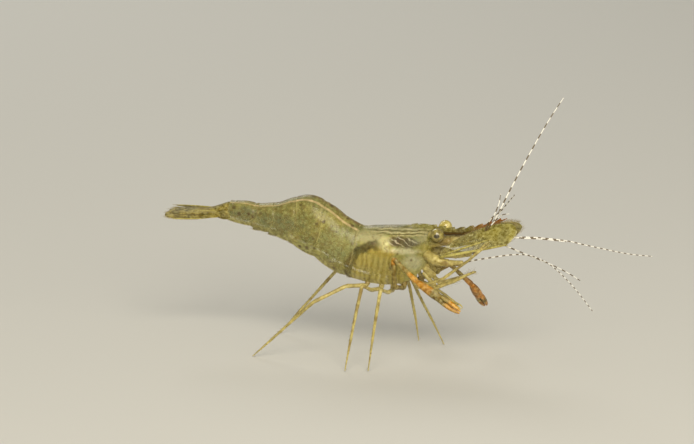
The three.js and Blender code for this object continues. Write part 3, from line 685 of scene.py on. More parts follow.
def zone_group():
    """A soft oval zone on both flanks: 1 inside, 0 outside, and the distance in radii from its middle."""
    oval = {"Middle": (0, 0, 0), "Radii": (1, 1, 1), "Soft": 0.3, "Wobble": 0.2}
    tree, bench, taken, given = new_group("flank zone", oval, ["Mask", "Distance"])
    place = bench.millimetres()
    x, y, z = bench.parts(place)
    both = bench.node("ShaderNodeCombineXYZ", {0: x, 1: bench.math("ABSOLUTE", y), 2: z}).outputs[0]
    away = bench.vector("DIVIDE", bench.vector("SUBTRACT", both, taken["Middle"]), taken["Radii"])
    ragged = bench.times(bench.math("SUBTRACT", bench.noise(place, 0.9, 3.0), 0.5), taken["Wobble"])
    distance = bench.math("ADD", bench.vector("LENGTH", away), ragged)
    inner = bench.math("SUBTRACT", 1.0, taken["Soft"])
    outer = bench.math("ADD", 1.0, taken["Soft"])
    bench.wire(bench.between(distance, outer, inner), given["Mask"])
    bench.wire(distance, given["Distance"])
    return tree


def stripes_group():
    """Fine uneven lines across a direction, such as gills and muscle fibres show."""
    comb = {"Direction": (1, 0, 0), "Lines per mm": 1.0, "Uneven": 1.0}
    tree, bench, taken, given = new_group("fine stripes", comb, ["Mask"])
    place = bench.millimetres()
    height = bench.vector("DOT_PRODUCT", place, taken["Direction"])
    turns = bench.times(height, taken["Lines per mm"], math.tau)
    wander = bench.times(bench.noise(place, 0.8, 3.0), taken["Uneven"], math.tau)
    wave = bench.math("SINE", bench.math("ADD", turns, wander))
    bench.wire(bench.math("MULTIPLY_ADD", wave, 0.5, 0.5), given["Mask"])
    return tree


def line_group():
    """A thin line where a value passes a place, broken up by noise."""
    ruled = {"Value": 0.0, "Place": 0.5, "Half Width": 0.02, "Broken": 0.3}
    tree, bench, taken, given = new_group("thin line", ruled, ["Mask"])
    away = bench.math("ABSOLUTE", bench.math("SUBTRACT", taken["Value"], taken["Place"]))
    line = bench.between(away, taken["Half Width"], bench.times(taken["Half Width"], 0.4))
    gaps = bench.between(bench.noise(bench.millimetres(), 1.3, 3.0), 0.35, 0.5)
    kept = bench.math("SUBTRACT", 1.0, bench.times(taken["Broken"], gaps))
    bench.wire(bench.times(line, kept), given["Mask"])
    return tree


FRECKLES = freckles_group()
NET = net_group()
MOTTLE = mottle_group()
ZONE = zone_group()
STRIPES = stripes_group()
LINE = line_group()

# Patches that show through the body: tone, strength, middle, radii, softness, raggedness.
PATCHES = (
    ("68705a", 0.7, (-16.6, 1.3, 0.7), (2.4, 1.8, 1.0), 0.5, 1.0),  # blue-grey muscle before the tail
    ("727a60", 0.6, (-11.6, 1.9, -0.2), (3.2, 1.8, 1.3), 0.5, 1.0),
    ("a0a572", 0.55, (-2.4, 2.9, -1.9), (2.8, 1.8, 2.2), 0.5, 1.0),  # and behind the carapace
    ("958632", 0.6, (12.0, 1.6, -2.2), (3.0, 2.6, 2.6), 0.5, 0.6),  # yellow-green head
    ("d2cfaa", 0.75, (8.4, 2.3, -4.3), (1.5, 1.6, 1.0), 0.5, 0.9),  # clear flank behind the mouth
    ("c9c39c", 0.65, (1.9, 2.6, -1.0), (2.3, 1.6, 0.9), 0.5, 0.9),  # pale muscle above the gills
    ("b69f44", 0.75, (4.3, 2.7, -2.9), (2.0, 1.6, 0.8), 0.4, 0.8),  # yellow over the gills
    ("4a3a28", 0.9, (6.9, 2.4, -1.45), (2.6, 1.7, 0.75), 0.35, 1.0),  # stomach
    ("e6dca0", 0.85, (4.3, 2.6, -1.6), (0.9, 1.4, 1.0), 0.5, 1.4),  # cream edge behind it
    ("e0dab4", 0.8, (7.2, 2.7, -2.6), (2.0, 1.4, 0.4), 0.6, 1.3),
)
GILLS = {"Middle": (3.1, 2.6, -6.3), "Radii": (4.1, 2.6, 4.2), "Soft": 0.07, "Wobble": 0.3}
GILL_HEM = {"Place": 1.0, "Half Width": 0.2, "Broken": 0.15}
HEAD_STREAKS = {"Middle": (6.0, 1.8, 0.05), "Radii": (5.2, 2.0, 0.7), "Soft": 0.3, "Wobble": 0.6}
STOMACH_FOLDS = {"Middle": (6.8, 2.3, -1.4), "Radii": (2.2, 1.7, 0.7), "Soft": 0.2, "Wobble": 0.6}


def mottled(bench, first, second, scale, grain):
    """Two tones that cloud into each other."""
    return bench.group(MOTTLE, {"First": first, "Second": second, "Scale": scale, "Grain": grain})["Color"]


def striped(bench, direction, lines_per_mm, uneven):
    """A mask of uneven stripes across a direction."""
    comb = {"Direction": direction, "Lines per mm": lines_per_mm, "Uneven": uneven}
    return bench.group(STRIPES, comb)["Mask"]


def lined(bench, value, line):
    """A mask of the thin line where value passes the line's place."""
    return bench.group(LINE, {"Value": value, **line})["Mask"]


def body_tones_group():
    """What shows through the clear body: muscle, organs, gills and their coloured patches."""
    tree, bench, _, given = new_group("body tones", {}, ["Color", "Ridges"])
    color = mottled(bench, "b3a763", "8c8b57", 0.3, 0.45)
    fibres = striped(bench, (0.8, 0, 0.5), 1.1, 1.2)
    color = bench.mix(bench.times(fibres, 0.18), color, "d2c780")
    gills = bench.group(ZONE, GILLS)
    plumes = striped(bench, (1, 0, -0.12), 1.2, 1.7)
    color = bench.mix(bench.times(gills["Mask"], 0.9), color, bench.mix(plumes, "9f8b3a", "d0be68"))
    for tone, strength, middle, radii, soft, wobble in PATCHES:
        zone = bench.group(ZONE, {"Middle": middle, "Radii": radii, "Soft": soft, "Wobble": wobble})
        color = bench.mix(bench.times(zone["Mask"], strength), color, tone)
    x, _, _ = bench.parts(bench.millimetres())
    hem = bench.times(lined(bench, gills["Distance"], GILL_HEM), 0.95, bench.between(x, 4.6, 2.4))
    color = bench.mix(hem, color, "2e1c08")
    streaks = striped(bench, (-0.05, 0, 1), 2.7, 1.5)
    shown = bench.group(ZONE, HEAD_STREAKS)["Mask"]
    color = bench.mix(bench.times(shown, 0.88), color, bench.mix(streaks, "52471f", "e4daa8"))
    folds = bench.between(striped(bench, (0.45, 0, 1), 1.7, 1.8), 0.8, 1.0)
    stomach = bench.group(ZONE, STOMACH_FOLDS)["Mask"]
    color = bench.mix(bench.times(stomach, folds, 0.7), color, "cfc4a4")
    bench.wire(color, given["Color"])
    bench.wire(bench.times(plumes, gills["Mask"]), given["Ridges"])
    return tree


BODY_TONES = body_tones_group()


# ---- Materials ------------------------------------------------------------------------------------

def material(name, paint, values=None, **constants):
    """A material whose paint(bench, shader, **values) wires what changes over the surface."""
    made = bpy.data.materials.new(name)
    made.use_nodes = True
    made.node_tree.nodes.clear()
    bench = Bench(made.node_tree)
    shader = bench.node("ShaderNodeBsdfPrincipled")
    out = bench.node("ShaderNodeOutputMaterial")
    bench.tree.links.new(shader.outputs[0], out.inputs["Surface"])
    for key, value in constants.items():
        shader.inputs[key.replace("_", " ")].default_value = value
    paint(bench, shader.inputs, **(values or {}))
    return made


def relief(bench, shader, height, depth):
    """Raises the surface by height; depth is in millimetres."""
    bumped = bench.node("ShaderNodeBump", {"Height": height, "Strength": 0.6, "Distance": depth * MM})
    bench.wire(bumped.outputs[0], shader["Normal"])


def grain_gloss(bench, shader, low, high):
    """Lets the gloss vary from place to place between two roughnesses, and gives the grain it follows."""
    grain = bench.noise(bench.millimetres(), 3.0)
    gloss = bench.node("ShaderNodeMapRange", {"Value": grain, "To Min": low, "To Max": high})
    bench.wire(gloss.outputs[0], shader["Roughness"])
    return grain


def finish(bench, shader, color, cover, gloss, depth):
    """Colour, cover, gloss between two roughnesses, and a grain of the given depth in millimetres."""
    bench.wire(color, shader["Base Color"])
    bench.wire(cover, shader["Alpha"])
    relief(bench, shader, grain_gloss(bench, shader, *gloss), depth)


def freckled(bench, color, scale, size, share, strength, tone="5a4426"):
    """A colour with pigment cells on it, and their mask."""
    dots = bench.group(FRECKLES, {"Scale": scale, "Size": size, "Share": share})["Mask"]
    return bench.mix(bench.times(dots, strength), color, tone), dots


# Lines on a plate: the fold behind its front edge, the middle of the back, and the gut.
FOLD = {"Place": 0.17, "Half Width": 0.02, "Broken": 0.8}
BACK = {"Place": 0.5, "Broken": 0.7}
GUT = {"Place": 0.074, "Half Width": 0.013, "Broken": 0.35}


def plate_paint(bench, shader, clear, back_width, gut_strength, pigment):
    """Clear horny shell over the body: pale rims, brown pigment, the line of the gut and of the back."""
    color = bench.mix(0.3, bench.group(BODY_TONES)["Color"], mottled(bench, "c8b96c", "92976a", 0.5, 0.6))
    along_plate, round_plate, _ = bench.parts(bench.node("ShaderNodeTexCoord").outputs["UV"])
    arc = bench.math("ABSOLUTE", bench.math("SUBTRACT", round_plate, 0.5))
    edge = bench.most(bench.between(along_plate, 0.965, 0.99), bench.between(arc, 0.48, 0.494))
    rim = bench.times(edge, bench.between(bench.noise(bench.millimetres(), 1.6), 0.3, 0.6))
    fold = lined(bench, along_plate, FOLD)
    back = lined(bench, round_plate, {**BACK, "Half Width": back_width})
    gut = bench.times(lined(bench, arc, GUT), gut_strength)
    net = bench.group(NET, {"Scale": 1.25, "Strand": 0.13, "Share": pigment})["Mask"]
    color = bench.mix(bench.times(net, 0.6), color, "5f481f")
    color = bench.mix(bench.times(bench.most(rim, fold), 0.4), color, "d2c384")
    color = bench.mix(gut, color, "dcc192")
    color = bench.mix(bench.times(back, 0.8), color, "6d3f1e")
    color, dots = freckled(bench, color, 0.95, 0.3, pigment, 0.75, "4a371f")
    color, small = freckled(bench, color, 2.9, 0.22, pigment, 0.6, "4f3b24")
    bench.wire(color, shader["Base Color"])
    marks = bench.most(bench.times(rim, 0.5), back, gut, dots, small, net)
    hem = bench.between(arc, 0.34, 0.47)
    cover = bench.math("ADD", clear, bench.times(bench.most(marks, hem), 0.4), clamp=True)
    bench.wire(cover, shader["Alpha"])
    grain = grain_gloss(bench, shader, 0.2, 0.42)
    relief(bench, shader, bench.math("ADD", grain, bench.times(dots, 0.4)), 0.03)


def flesh_paint(bench, shader):
    """The body inside its shell."""
    tones = bench.group(BODY_TONES)
    color, _ = freckled(bench, tones["Color"], 1.7, 0.3, 0.4, 0.45, "65501f")
    bench.wire(color, shader["Base Color"])
    grain = grain_gloss(bench, shader, 0.35, 0.55)
    relief(bench, shader, bench.math("ADD", grain, tones["Ridges"]), 0.08)


def rostrum_paint(bench, shader):
    """The saw on the head: olive above, dark brown below, orange-brown towards its tip."""
    x, _, z = bench.parts(bench.millimetres())
    # The blade rises towards its tip, so the stripe follows a parabola.
    ahead = bench.math("MAXIMUM", bench.math("SUBTRACT", x, 12.5), 0.0)
    height = bench.math("SUBTRACT", z, bench.times(ahead, ahead, 0.028))
    stripe = bench.between(height, 0.12, -0.22)
    tip = bench.between(x, 15.8, 18.6)
    color = bench.mix(bench.times(stripe, 0.85), mottled(bench, "82742a", "625220", 0.6, 0.5), "4d3412")
    color = bench.mix(bench.times(tip, 0.8), color, "85480f")
    color, dots = freckled(bench, color, 3.5, 0.26, 0.5, 0.6, "4f3b20")
    cover = bench.math("ADD", 0.88, bench.times(bench.most(stripe, tip, dots), 0.12))
    finish(bench, shader, color, cover, (0.2, 0.4), 0.02)


def blade_paint(bench, shader, first, second, clear, speckle):
    """Thin clear blades: tail fan, swimmerets and the scales' rods."""
    color, dots = freckled(bench, mottled(bench, first, second, 0.7, 0.5), 2.2, 0.34, speckle, 0.8, "4a381d")
    color, small = freckled(bench, color, 4.2, 0.28, speckle, 0.6)
    cover = bench.math("ADD", clear, bench.times(bench.noise(bench.millimetres(), 2.2), 0.2))
    cover = bench.math("ADD", cover, bench.times(bench.most(dots, small), 0.4), clamp=True)
    finish(bench, shader, color, cover, (0.4, 0.6), 0.03)


def scale_paint(bench, shader):
    """The antennal scales: glass clear at the heel, with pale specks, and yellow at the round end."""
    x, _, z = bench.parts(bench.millimetres())
    end = bench.between(x, 15.2, 20.6)
    heel = mottled(bench, "a4913e", "7d7336", 0.8, 0.9)
    color, pale = freckled(bench, heel, 2.6, 0.34, 0.5, 0.7, "d8d2a8")
    color, dots = freckled(bench, color, 3.0, 0.26, 0.4, 0.65)
    shade = bench.times(end, bench.between(z, -1.2, 0.6), 0.85)
    color = bench.mix(shade, color, mottled(bench, "a19238", "837732", 0.5, 0.6))
    heel_marks = bench.times(bench.most(pale, dots), 0.45)
    cover = bench.math("ADD", bench.times(end, 0.5), bench.math("ADD", 0.34, heel_marks), clamp=True)
    finish(bench, shader, color, cover, (0.2, 0.42), 0.03)


def along(bench):
    """How far along its tube a place is, in millimetres."""
    return bench.node("ShaderNodeAttribute", attribute_name="along").outputs["Fac"]


def limb_paint(bench, shader):
    """Clear pale legs, with brown dots and a darker smudge here and there."""
    smudge = bench.between(bench.noise(bench.millimetres(), 0.5, 2.0), 0.54, 0.66)
    color = bench.mix(bench.times(smudge, 0.6), mottled(bench, "dcc686", "b39f68", 0.7, 0.5), "7d6233")
    color, dots = freckled(bench, color, 2.2, 0.3, 0.55, 0.75, "4f3b1e")
    cover = bench.math("ADD", 0.84, bench.times(dots, 0.16))
    finish(bench, shader, color, cover, (0.25, 0.45), 0.02)


# Orange tones of each claw and its arm. The far (left) one is painted darker than the near (right) one:
# painted shade.
CLAW_ORANGE_FAR_SHADED = {"left": ("cc7c10", "965a08"), "right": ("d8920c", "ac7008")}
BAND_EDGE = 0.35


def orange_paint(bench, shader, bands, side):
    """The long claws: ragged orange bands, olive brown between. bands holds (from, to) along the limb."""
    place = along(bench)
    spans = []
    for start, end in bands:
        rise = bench.between(place, start - BAND_EDGE, start + BAND_EDGE)
        fall = bench.between(place, end + BAND_EDGE, end - BAND_EDGE)
        spans.append(bench.times(rise, fall))
    tears = bench.between(bench.noise(bench.millimetres(), 1.3, 4.0, 0.65), 0.22, 0.44)
    ragged = bench.times(bench.most(*spans), tears)
    # The side's orange, darker on the far side: painted shade.
    orange = mottled(bench, *CLAW_ORANGE_FAR_SHADED[side], 0.9, 0.6)
    color = bench.mix(ragged, mottled(bench, "a08030", "786120", 0.7, 0.7), orange)
    color, _ = freckled(bench, color, 2.6, 0.28, 0.5, 0.6, "5c3a1a")
    cover = bench.math("ADD", 0.86, bench.times(ragged, 0.14))
    finish(bench, shader, color, cover, (0.3, 0.5), 0.03)


def flagellum_paint(bench, shader, pitch):
    """Banded feelers: white dashes with clear brown gaps between, and none at the root."""
    turns = bench.math("FRACT", bench.math("DIVIDE", along(bench), pitch))
    beyond_root = bench.between(along(bench), 1.0, 1.6)
    white = bench.times(bench.between(turns, 0.02, 0.1), bench.between(turns, 0.66, 0.58), beyond_root)
    grain = bench.noise(bench.millimetres(), 6.0, 2.0)
    color = bench.mix(white, bench.mix(grain, "5f4a2c", "806b43"), bench.mix(grain, "eeeadd", "faf8f0"))
    bench.wire(color, shader["Base Color"])
    bench.wire(bench.math("ADD", 0.72, bench.times(white, 0.28)), shader["Alpha"])
    relief(bench, shader, bench.math("FRACT", bench.times(along(bench), 3.2)), 0.02)
    bench.wire(bench.math("ADD", 0.35, bench.times(grain, 0.2)), shader["Roughness"])


PUPIL = {"Middle": (12.2, 3.2, 0.05), "Radii": (0.42, 0.7, 0.3), "Soft": 0.35, "Wobble": 0.9}


def cornea_paint(bench, shader, pale, olive, net_tone):
    """An eye of small facets, pale, with a few dark spots gathered on its outer side."""
    place = bench.millimetres()
    clouds = bench.mix(bench.between(bench.noise(place, 1.4), 0.4, 0.6), pale, olive)
    net = bench.group(NET, {"Scale": 1.6, "Strand": 0.1, "Share": 0.8})["Mask"]
    color = bench.mix(bench.times(net, 0.55), clouds, net_tone)
    pupil = bench.group(ZONE, PUPIL)["Mask"]
    color = bench.mix(bench.times(pupil, 0.9), color, "1f1a12")
    cells = bench.node("ShaderNodeTexVoronoi", {"Vector": place, "Scale": 7.0, "Randomness": 0.25})
    facet = bench.between(cells.outputs["Distance"], 0.5, 0.15)
    color = bench.mix(bench.times(facet, 0.12), color, "fff3cf")
    bench.wire(color, shader["Base Color"])
    bench.wire(bench.math("ADD", 0.12, bench.times(facet, 0.1)), shader["Roughness"])
    relief(bench, shader, facet, 0.015)


def hair_paint(bench, shader):
    """Bristles, from brown to straw."""
    grain = bench.noise(bench.millimetres(), 1.5, 2.0)
    bench.wire(bench.mix(grain, "7f6a38", "b9a86e"), shader["Base Color"])
    bench.wire(bench.math("ADD", 0.35, bench.times(grain, 0.3)), shader["Roughness"])


GLOSS = {"Specular_IOR_Level": 0.25, "Coat_Weight": 0.15, "Coat_Roughness": 0.12}
FLESH_GLOW = {"Specular_IOR_Level": 0.2, "Subsurface_Weight": 0.2, "Subsurface_Scale": 0.0008}
EYE_GLOSS = {"Coat_Weight": 0.4, "Coat_Roughness": 0.1}
CARAPACE_LOOK = {"clear": 0.36, "back_width": 0.01, "gut_strength": 0.0, "pigment": 0.45}
ABDOMEN_LOOK = {"clear": 0.44, "back_width": 0.03, "gut_strength": 0.85, "pigment": 0.75}
TAIL_LOOK = {"first": "94803a", "second": "5f5122", "clear": 0.96, "speckle": 0.85}
SWIMMERET_LOOK = {"first": "aca064", "second": "928e60", "clear": 0.66, "speckle": 0.4}
ROD_LOOK = {"first": "c4b570", "second": "a99a59", "clear": 0.85, "speckle": 0.25}
# The two eyes are alike in life. The far eye is painted paler as if lit, and the near eye darker as if in
# shade: painted light and shade.
FAR_EYE_PAINTED_LIGHTER = {"pale": "d9cb80", "olive": "b7a752", "net_tone": "9f8a3d"}
NEAR_EYE_PAINTED_DARKER = {"pale": "a2944a", "olive": "7c7034", "net_tone": "66582a"}

CARAPACE_SHELL = material("clear carapace", plate_paint, CARAPACE_LOOK, **GLOSS)
ABDOMEN_SHELL = material("clear abdomen plates", plate_paint, ABDOMEN_LOOK, **GLOSS)
FLESH = material("flesh under the shell", flesh_paint, **FLESH_GLOW)
ROSTRUM = material("rostrum", rostrum_paint, **GLOSS)
FIN = material("tail fan", blade_paint, TAIL_LOOK, Specular_IOR_Level=0.1)
SWIMMERET = material("swimmerets", blade_paint, SWIMMERET_LOOK, **GLOSS)
SCALE_FIN = material("antennal scale", scale_paint, **GLOSS)
ROD = material("clear rods", blade_paint, ROD_LOOK, Specular_IOR_Level=0.15)
LIMB = material("clear legs", limb_paint, **GLOSS)
HAIRS = material("bristles", hair_paint, Alpha=0.6)
CORNEA = {
    "left": material("far cornea", cornea_paint, FAR_EYE_PAINTED_LIGHTER, **EYE_GLOSS),
    "right": material("near cornea", cornea_paint, NEAR_EYE_PAINTED_DARKER, **EYE_GLOSS),
}
BROAD_BANDS = material("broad banded feeler", flagellum_paint, {"pitch": 1.75}, Coat_Weight=0.2)
FINE_BANDS = material("fine banded feeler", flagellum_paint, {"pitch": 1.15}, Coat_Weight=0.2)


# ---- Body pieces ----------------------------------------------------------------------------------

def bell(x, middle, width):
    """1 at the middle, falling away smoothly on both sides."""
    return math.exp(-((x - middle) / width) ** 2)


def ramp(x, low, high):
    """0 below low, 1 above high, smooth between; low may be above high."""
    t = min(max((x - low) / (high - low), 0.0), 1.0)
    return t * t * (3 - 2 * t)


def shell(piece, thick=SHELL_THICK):
    """Gives a sheet its wall, inwards, once its faces point out."""
    alone(piece)
    bpy.ops.object.mode_set(mode="EDIT")
    bpy.ops.mesh.select_all(action="SELECT")
    bpy.ops.mesh.normals_make_consistent(inside=False)
    bpy.ops.object.mode_set(mode="OBJECT")
    top = max(piece.data.polygons, key=lambda face: face.center.z)
    if top.normal.z < 0:
        bpy.ops.object.mode_set(mode="EDIT")
        bpy.ops.mesh.flip_normals()
        bpy.ops.object.mode_set(mode="OBJECT")
    modify(piece, "SOLIDIFY", thickness=thick, offset=-1)
    return piece


# Relief of the carapace in millimetres: rim, keel of the back, gill groove, neck groove, notch for the eye.
RIM, KEEL, GILL_GROOVE, NECK_GROOVE, ORBIT = 0.05, 0.32, 0.07, 0.09, 0.85
HEAD_SPINES = (
    ((10.5, 1.62, -1.35), (11.75, 1.72, -1.5)),
    ((10.1, 2.1, -2.9), (11.1, 2.25, -3.15)),
)
HEAD_SPINE_RADII = ((0, 0.2), (0.4, 0.15), (0.8, 0.07), (1, 0.025))


def carapace():
    """The shell of the head and chest, with its keel, grooves, eye notches and front spines."""
    rear = {}

    def place(s, t):
        v = 2 * t - 1
        if t not in rear:
            rear[t] = station_at(0, v)
        side = abs(v)
        rim = RIM * ramp(s, 0.955, 0.985) + RIM * ramp(side, 0.955, 0.985)
        keel = KEEL * bell(v, 0, 0.05) * ramp(s, 0.62, 0.25)
        groove = -GILL_GROOVE * bell(side, 0.63 + 0.1 * s, 0.02) * ramp(s, 0.6, 0.4)
        neck = -NECK_GROOVE * bell(s, 0.42 + 0.35 * side, 0.03) * ramp(side, 0.75, 0.5)
        point = skin(rear[t] * s, v, rim + groove + neck)
        point.z += keel
        ahead = max(0.0, 1 - s / 0.14) ** 2
        orbit = -ORBIT * bell(side, 0.27, 0.1)
        lobe = 0.35 * bell(side, 0.45, 0.05) + 0.25 * bell(side, 0.6, 0.05)
        point.x += (orbit + lobe) * ahead
        return point

    piece = shell(sheet_of_plate("carapace_shell", 72, 96, place))
    spines = []
    for side in SIDES:
        for root, tip in HEAD_SPINES:
            spines.append(rod("head_spine", sideways(root, side), sideways(tip, side), HEAD_SPINE_RADII))
    piece = joined("carapace_shell", [piece] + spines)
    settle(piece, CARAPACE_SHELL, "shell", "carapace")


TOOTH_CURVE = 1.4  # how late a tooth rises to its point
TOOTH_BACK = 0.12  # how far ahead of the point its far side ends, as a share of its length


def saw(x, teeth):
    """Height of a row of forward-leaning teeth at x, as a share of one tooth."""
    pitch = (teeth["to"] - teeth["from"]) / (teeth["count"] - 1)
    k = math.floor((x - teeth["from"]) / pitch + 1e-6)
    if not 0 <= k < teeth["count"]:
        return 0.0
    t = max(0.0, (x - teeth["from"] - k * pitch) / teeth["length"])
    return t ** TOOTH_CURVE if t <= 1 else max(0.0, 1 - (t - 1) / TOOTH_BACK)


# The rib down each side of the rostrum: x, distance from the middle, z, radius.
ROSTRUM_RIB = (
    (9.2, 0.62, -0.1, 0.1), (11.0, 0.34, 0.0, 0.13), (13.4, 0.17, 0.0, 0.12), (15.6, 0.15, 0.25, 0.1),
    (17.8, 0.12, 0.8, 0.08), (19.6, 0.08, 1.5, 0.05), (20.8, 0.03, 2.1, 0.02),
)
ROSTRUM_STEP, ROSTRUM_STEPS = 0.4, 40
TOOTH_STOPS = (0.0, 0.4, 0.75, 1.0, 1.0 + TOOTH_BACK)  # shares of a tooth where rings stand
NEAREST_RINGS = 0.03


def rostrum():
    """The saw on the head: a flat blade with teeth above and below, a rib down each side, and bristles."""
    top_x, top_z = zip(*ROSTRUM_TOP)
    low_x, low_z = zip(*ROSTRUM_LOW)
    stops = {top_x[0], top_x[-1]}
    for teeth in (TOP_TEETH, LOW_TEETH):
        pitch = (teeth["to"] - teeth["from"]) / (teeth["count"] - 1)
        for k in range(teeth["count"]):
            start = teeth["from"] + k * pitch
            stops.update(start + teeth["length"] * t for t in TOOTH_STOPS)
    stops.update(top_x[0] + ROSTRUM_STEP * k for k in range(ROSTRUM_STEPS))
    line = []
    last = -math.inf
    for x in sorted(stop for stop in stops if stop <= top_x[-1]):
        if x - last < NEAREST_RINGS:
            continue
        last = x
        high = np.interp(x, top_x, top_z) + TOP_TEETH["height"] * saw(x, TOP_TEETH)
        low = np.interp(x, low_x, low_z) - LOW_TEETH["height"] * saw(x, LOW_TEETH)
        wide = 0.2 + 0.35 * ramp(x, 10.5, 6.0) - 0.13 * ramp(x, 16, 21.6)
        deep = max((high - low) / 2, 0.03)
        line.append(((x, 0, (high + low) / 2), wide * min(1, deep / 0.3), deep))
    blade = tube("rostrum_blade", line, sides=12, across=(0, 1, 0), levels=0)
    ribs = []
    for way in SIDES.values():
        ribs.append(tube("rostrum_rib", [((x, way * y, z), r, r) for x, y, z, r in ROSTRUM_RIB], sides=8))
    settle(joined("rostrum_blade", [blade] + ribs), ROSTRUM, "shell", "carapace", angle=35)
    roots = []
    for x in np.arange(11.2, 19.4, 0.28):
        z = float(np.interp(x, low_x, low_z))
        roots.append(((x, 0.0, z + 0.04), (0.55, 0, -1), 0.4 + 0.1 * chance.random(), (0.4, 0, 0)))
    settle(hairs("rostrum_bristles", roots, thick=0.018), HAIRS, "fin", "carapace")


def margin_fringe(name, place, node, start, count):
    """Bristles along both lower margins of a plate, whose surface is place(s, t)."""
    roots = []
    for t, inner in ((0.0, 0.06), (1.0, 0.94)):
        for k in range(count):
            s = start + (0.96 - start) * k / (count - 1)
            root = place(s, t)
            way = (root - place(s, inner)).normalized()
            length = 0.22 + 0.1 * chance.random()
            roots.append((root - way * 0.05, way + Vector((-0.5, 0, 0)), length, (-0.3, 0, 0)))
    settle(hairs(name, roots, thick=0.016), HAIRS, "shell", node)


def abdomen_plate(number):
    """One ring's plate, tucked under the one ahead; the second ring's flanks lie over both neighbours."""
    ends = {}

    def place(s, t):
        v = 2 * t - 1
        if t not in ends:
            rear = station_at(number, v) if number < RING_COUNT else float(LAST_STATION)
            ends[t] = (station_at(number - 1, v), rear)
        front, rear = ends[t]
        side = abs(v)
        flank = ramp(side, 0.55, 0.8)
        tucked = 0.22 * (1 - flank * 0.6)
        if number == 2:
            front -= 0.2 * flank
            rear += 0.12 * flank
            tucked *= 1 - flank
        u = front - tucked + (rear - front + tucked) * s
        corner = 1 - 0.09 * abs(2 * s - 1) ** 3
        under = -0.17 * ramp(s, 0.14, 0.04) * (1 - flank * (number == 2))
        rim = 0.05 * ramp(s, 0.93, 0.98) + 0.035 * ramp(side, 0.955, 0.985)
        swell = 0.09 * math.sin(math.pi * s) + 0.1 * flank * (number == 2)
        hinge = -0.08 * bell(s, 0.17, 0.05)
        return skin(u, v, under + rim + swell + hinge, corner)

    columns = 44 if number == RING_COUNT else 30
    piece = shell(sheet_of_plate(f"abdomen_plate_{number}", columns, 72, place))
    settle(piece, ABDOMEN_SHELL, "shell", f"abdomen_ring_{number}")
    margin_fringe(f"plate_bristles_{number}", place, f"abdomen_ring_{number}", start=0.12, count=20)


FLESH_BELOW_BACK = 0.24
FLESH_INSET = 0.17
FLESH_NIP = 0.98  # every second ring is this much smaller, as muscle bands are


def flesh():
    """The body within its plates, from the mouth to the tail."""
    line = []
    for k in range(2 * LAST_STATION + 1):
        u = 0.1 + k / 2 * (LAST_STATION - 0.25) / LAST_STATION
        back_x, back_z, margin_x, margin_z, half, _ = section(u)
        depth = back_z - margin_z
        reach = CORE_SHARE + (0.1 if u < 2 else 0.0)
        top = FLESH_BELOW_BACK / depth
        share = (top + reach) / 2
        nip = FLESH_NIP if k % 2 else 1.0
        line.append((
            (back_x + (margin_x - back_x) * share, 0, back_z - depth * share),
            (half - FLESH_INSET) * nip, depth * (reach - top) / 2 * nip,
        ))
    body = tube("body_flesh", line, sides=28, across=(0, 1, 0), levels=2, facing=(-1, 0, 0))
    rings = [f"abdomen_ring_{number}" for number in range(1, RING_COUNT + 1)]
    settle(body, FLESH, "mouth", "carapace", *rings)


# ---- Head pieces ----------------------------------------------------------------------------------

STALK_RADII = (0.5, 0.46, 0.55, 0.74)


def eye(side):
    """A round cornea with a collar behind it, on its stalk."""
    middle = sideways(EYE["centre"], side)
    axis = (middle - sideways(STALK[1], side)).normalized()
    radius = EYE["radius"]
    line = [(middle - axis * radius * 1.02, 0.42, 0.42), (middle - axis * radius * 0.9, 0.6, 0.6)]
    for k in range(1, 12):
        t = -0.8 + 1.8 * k / 12
        ring = radius * math.sqrt(max(1 - t * t, 0))
        collar = 0.94 if t < -0.3 else 1.0
        line.append((middle + axis * radius * t, ring * collar, ring * collar))
    line.append((middle + axis * radius * 0.985, 0.12, 0.12))
    settle(tube(f"cornea_{side}", line, sides=24), CORNEA[side], "cornea", f"eye_{side}")
    line = []
    for k in range(10):
        share = k / 9 * 0.93
        r = through(STALK_RADII, share * (len(STALK_RADII) - 1))
        line.append((along_points([sideways(p, side) for p in STALK], share), r, r))
    settle(tube(f"stalk_{side}", line, sides=16), LIMB, "shell", f"eyestalk_{side}")


SPIKE_TAPER = ((0, 1.0), (0.45, 0.7), (0.8, 0.36), (1, 0.1))


def spike(name, root, tip, radius, side):
    """A pointed spine, given for the left side."""
    radii = [(share, radius * width) for share, width in SPIKE_TAPER]
    return rod(name, sideways(root, side), sideways(tip, side), radii)


ANTENNULE_RADII = (0.66, 0.58, 0.5, 0.4)
ANTENNA_RADII = (0.85, 0.88, 0.6, 0.38)


def antennule(side):
    """The three-jointed stem of the small feelers, with the spine at its root."""
    joints = [sideways(p, side) for p in ANTENNULE]
    stem = tube("stem", article_line(joints, ANTENNULE_RADII, squeeze=1.05), sides=16)
    stylocerite = spike("stylocerite", (11.2, 1.2, -1.6), (13.3, 1.62, -1.15), 0.26, side)
    settle(joined(f"antennule_stem_{side}", [stem, stylocerite]), LIMB, "limb", f"antennule_{side}")


def antenna_base(side):
    """The stout stem of the long feeler, with its spine."""
    joints = [sideways(p, side) for p in ANTENNA_BASE]
    stem = tube("stem", article_line(joints, ANTENNA_RADII, squeeze=0.95), sides=16)
    spine = spike("spine", (11.9, 2.9, -4.0), (13.2, 3.3, -4.2), 0.22, side)
    settle(joined(f"antenna_stem_{side}", [stem, spine]), LIMB, "limb", f"antenna_base_{side}")


# Rods of the scale: share of its length, radius; the midrib leans across the blade as it runs out.
SCALE_ROD = ((-0.02, 0.2), (0.1, 0.25), (0.4, 0.2), (0.75, 0.16), (0.93, 0.13), (1.0, 0.03))
SCALE_MIDRIB = ((0.02, 0.16), (0.3, 0.17), (0.6, 0.15), (0.9, 0.13), (1.02, 0.1))
SCALE_HALF_THICK = 0.13
SCALE_BRISTLES = 110


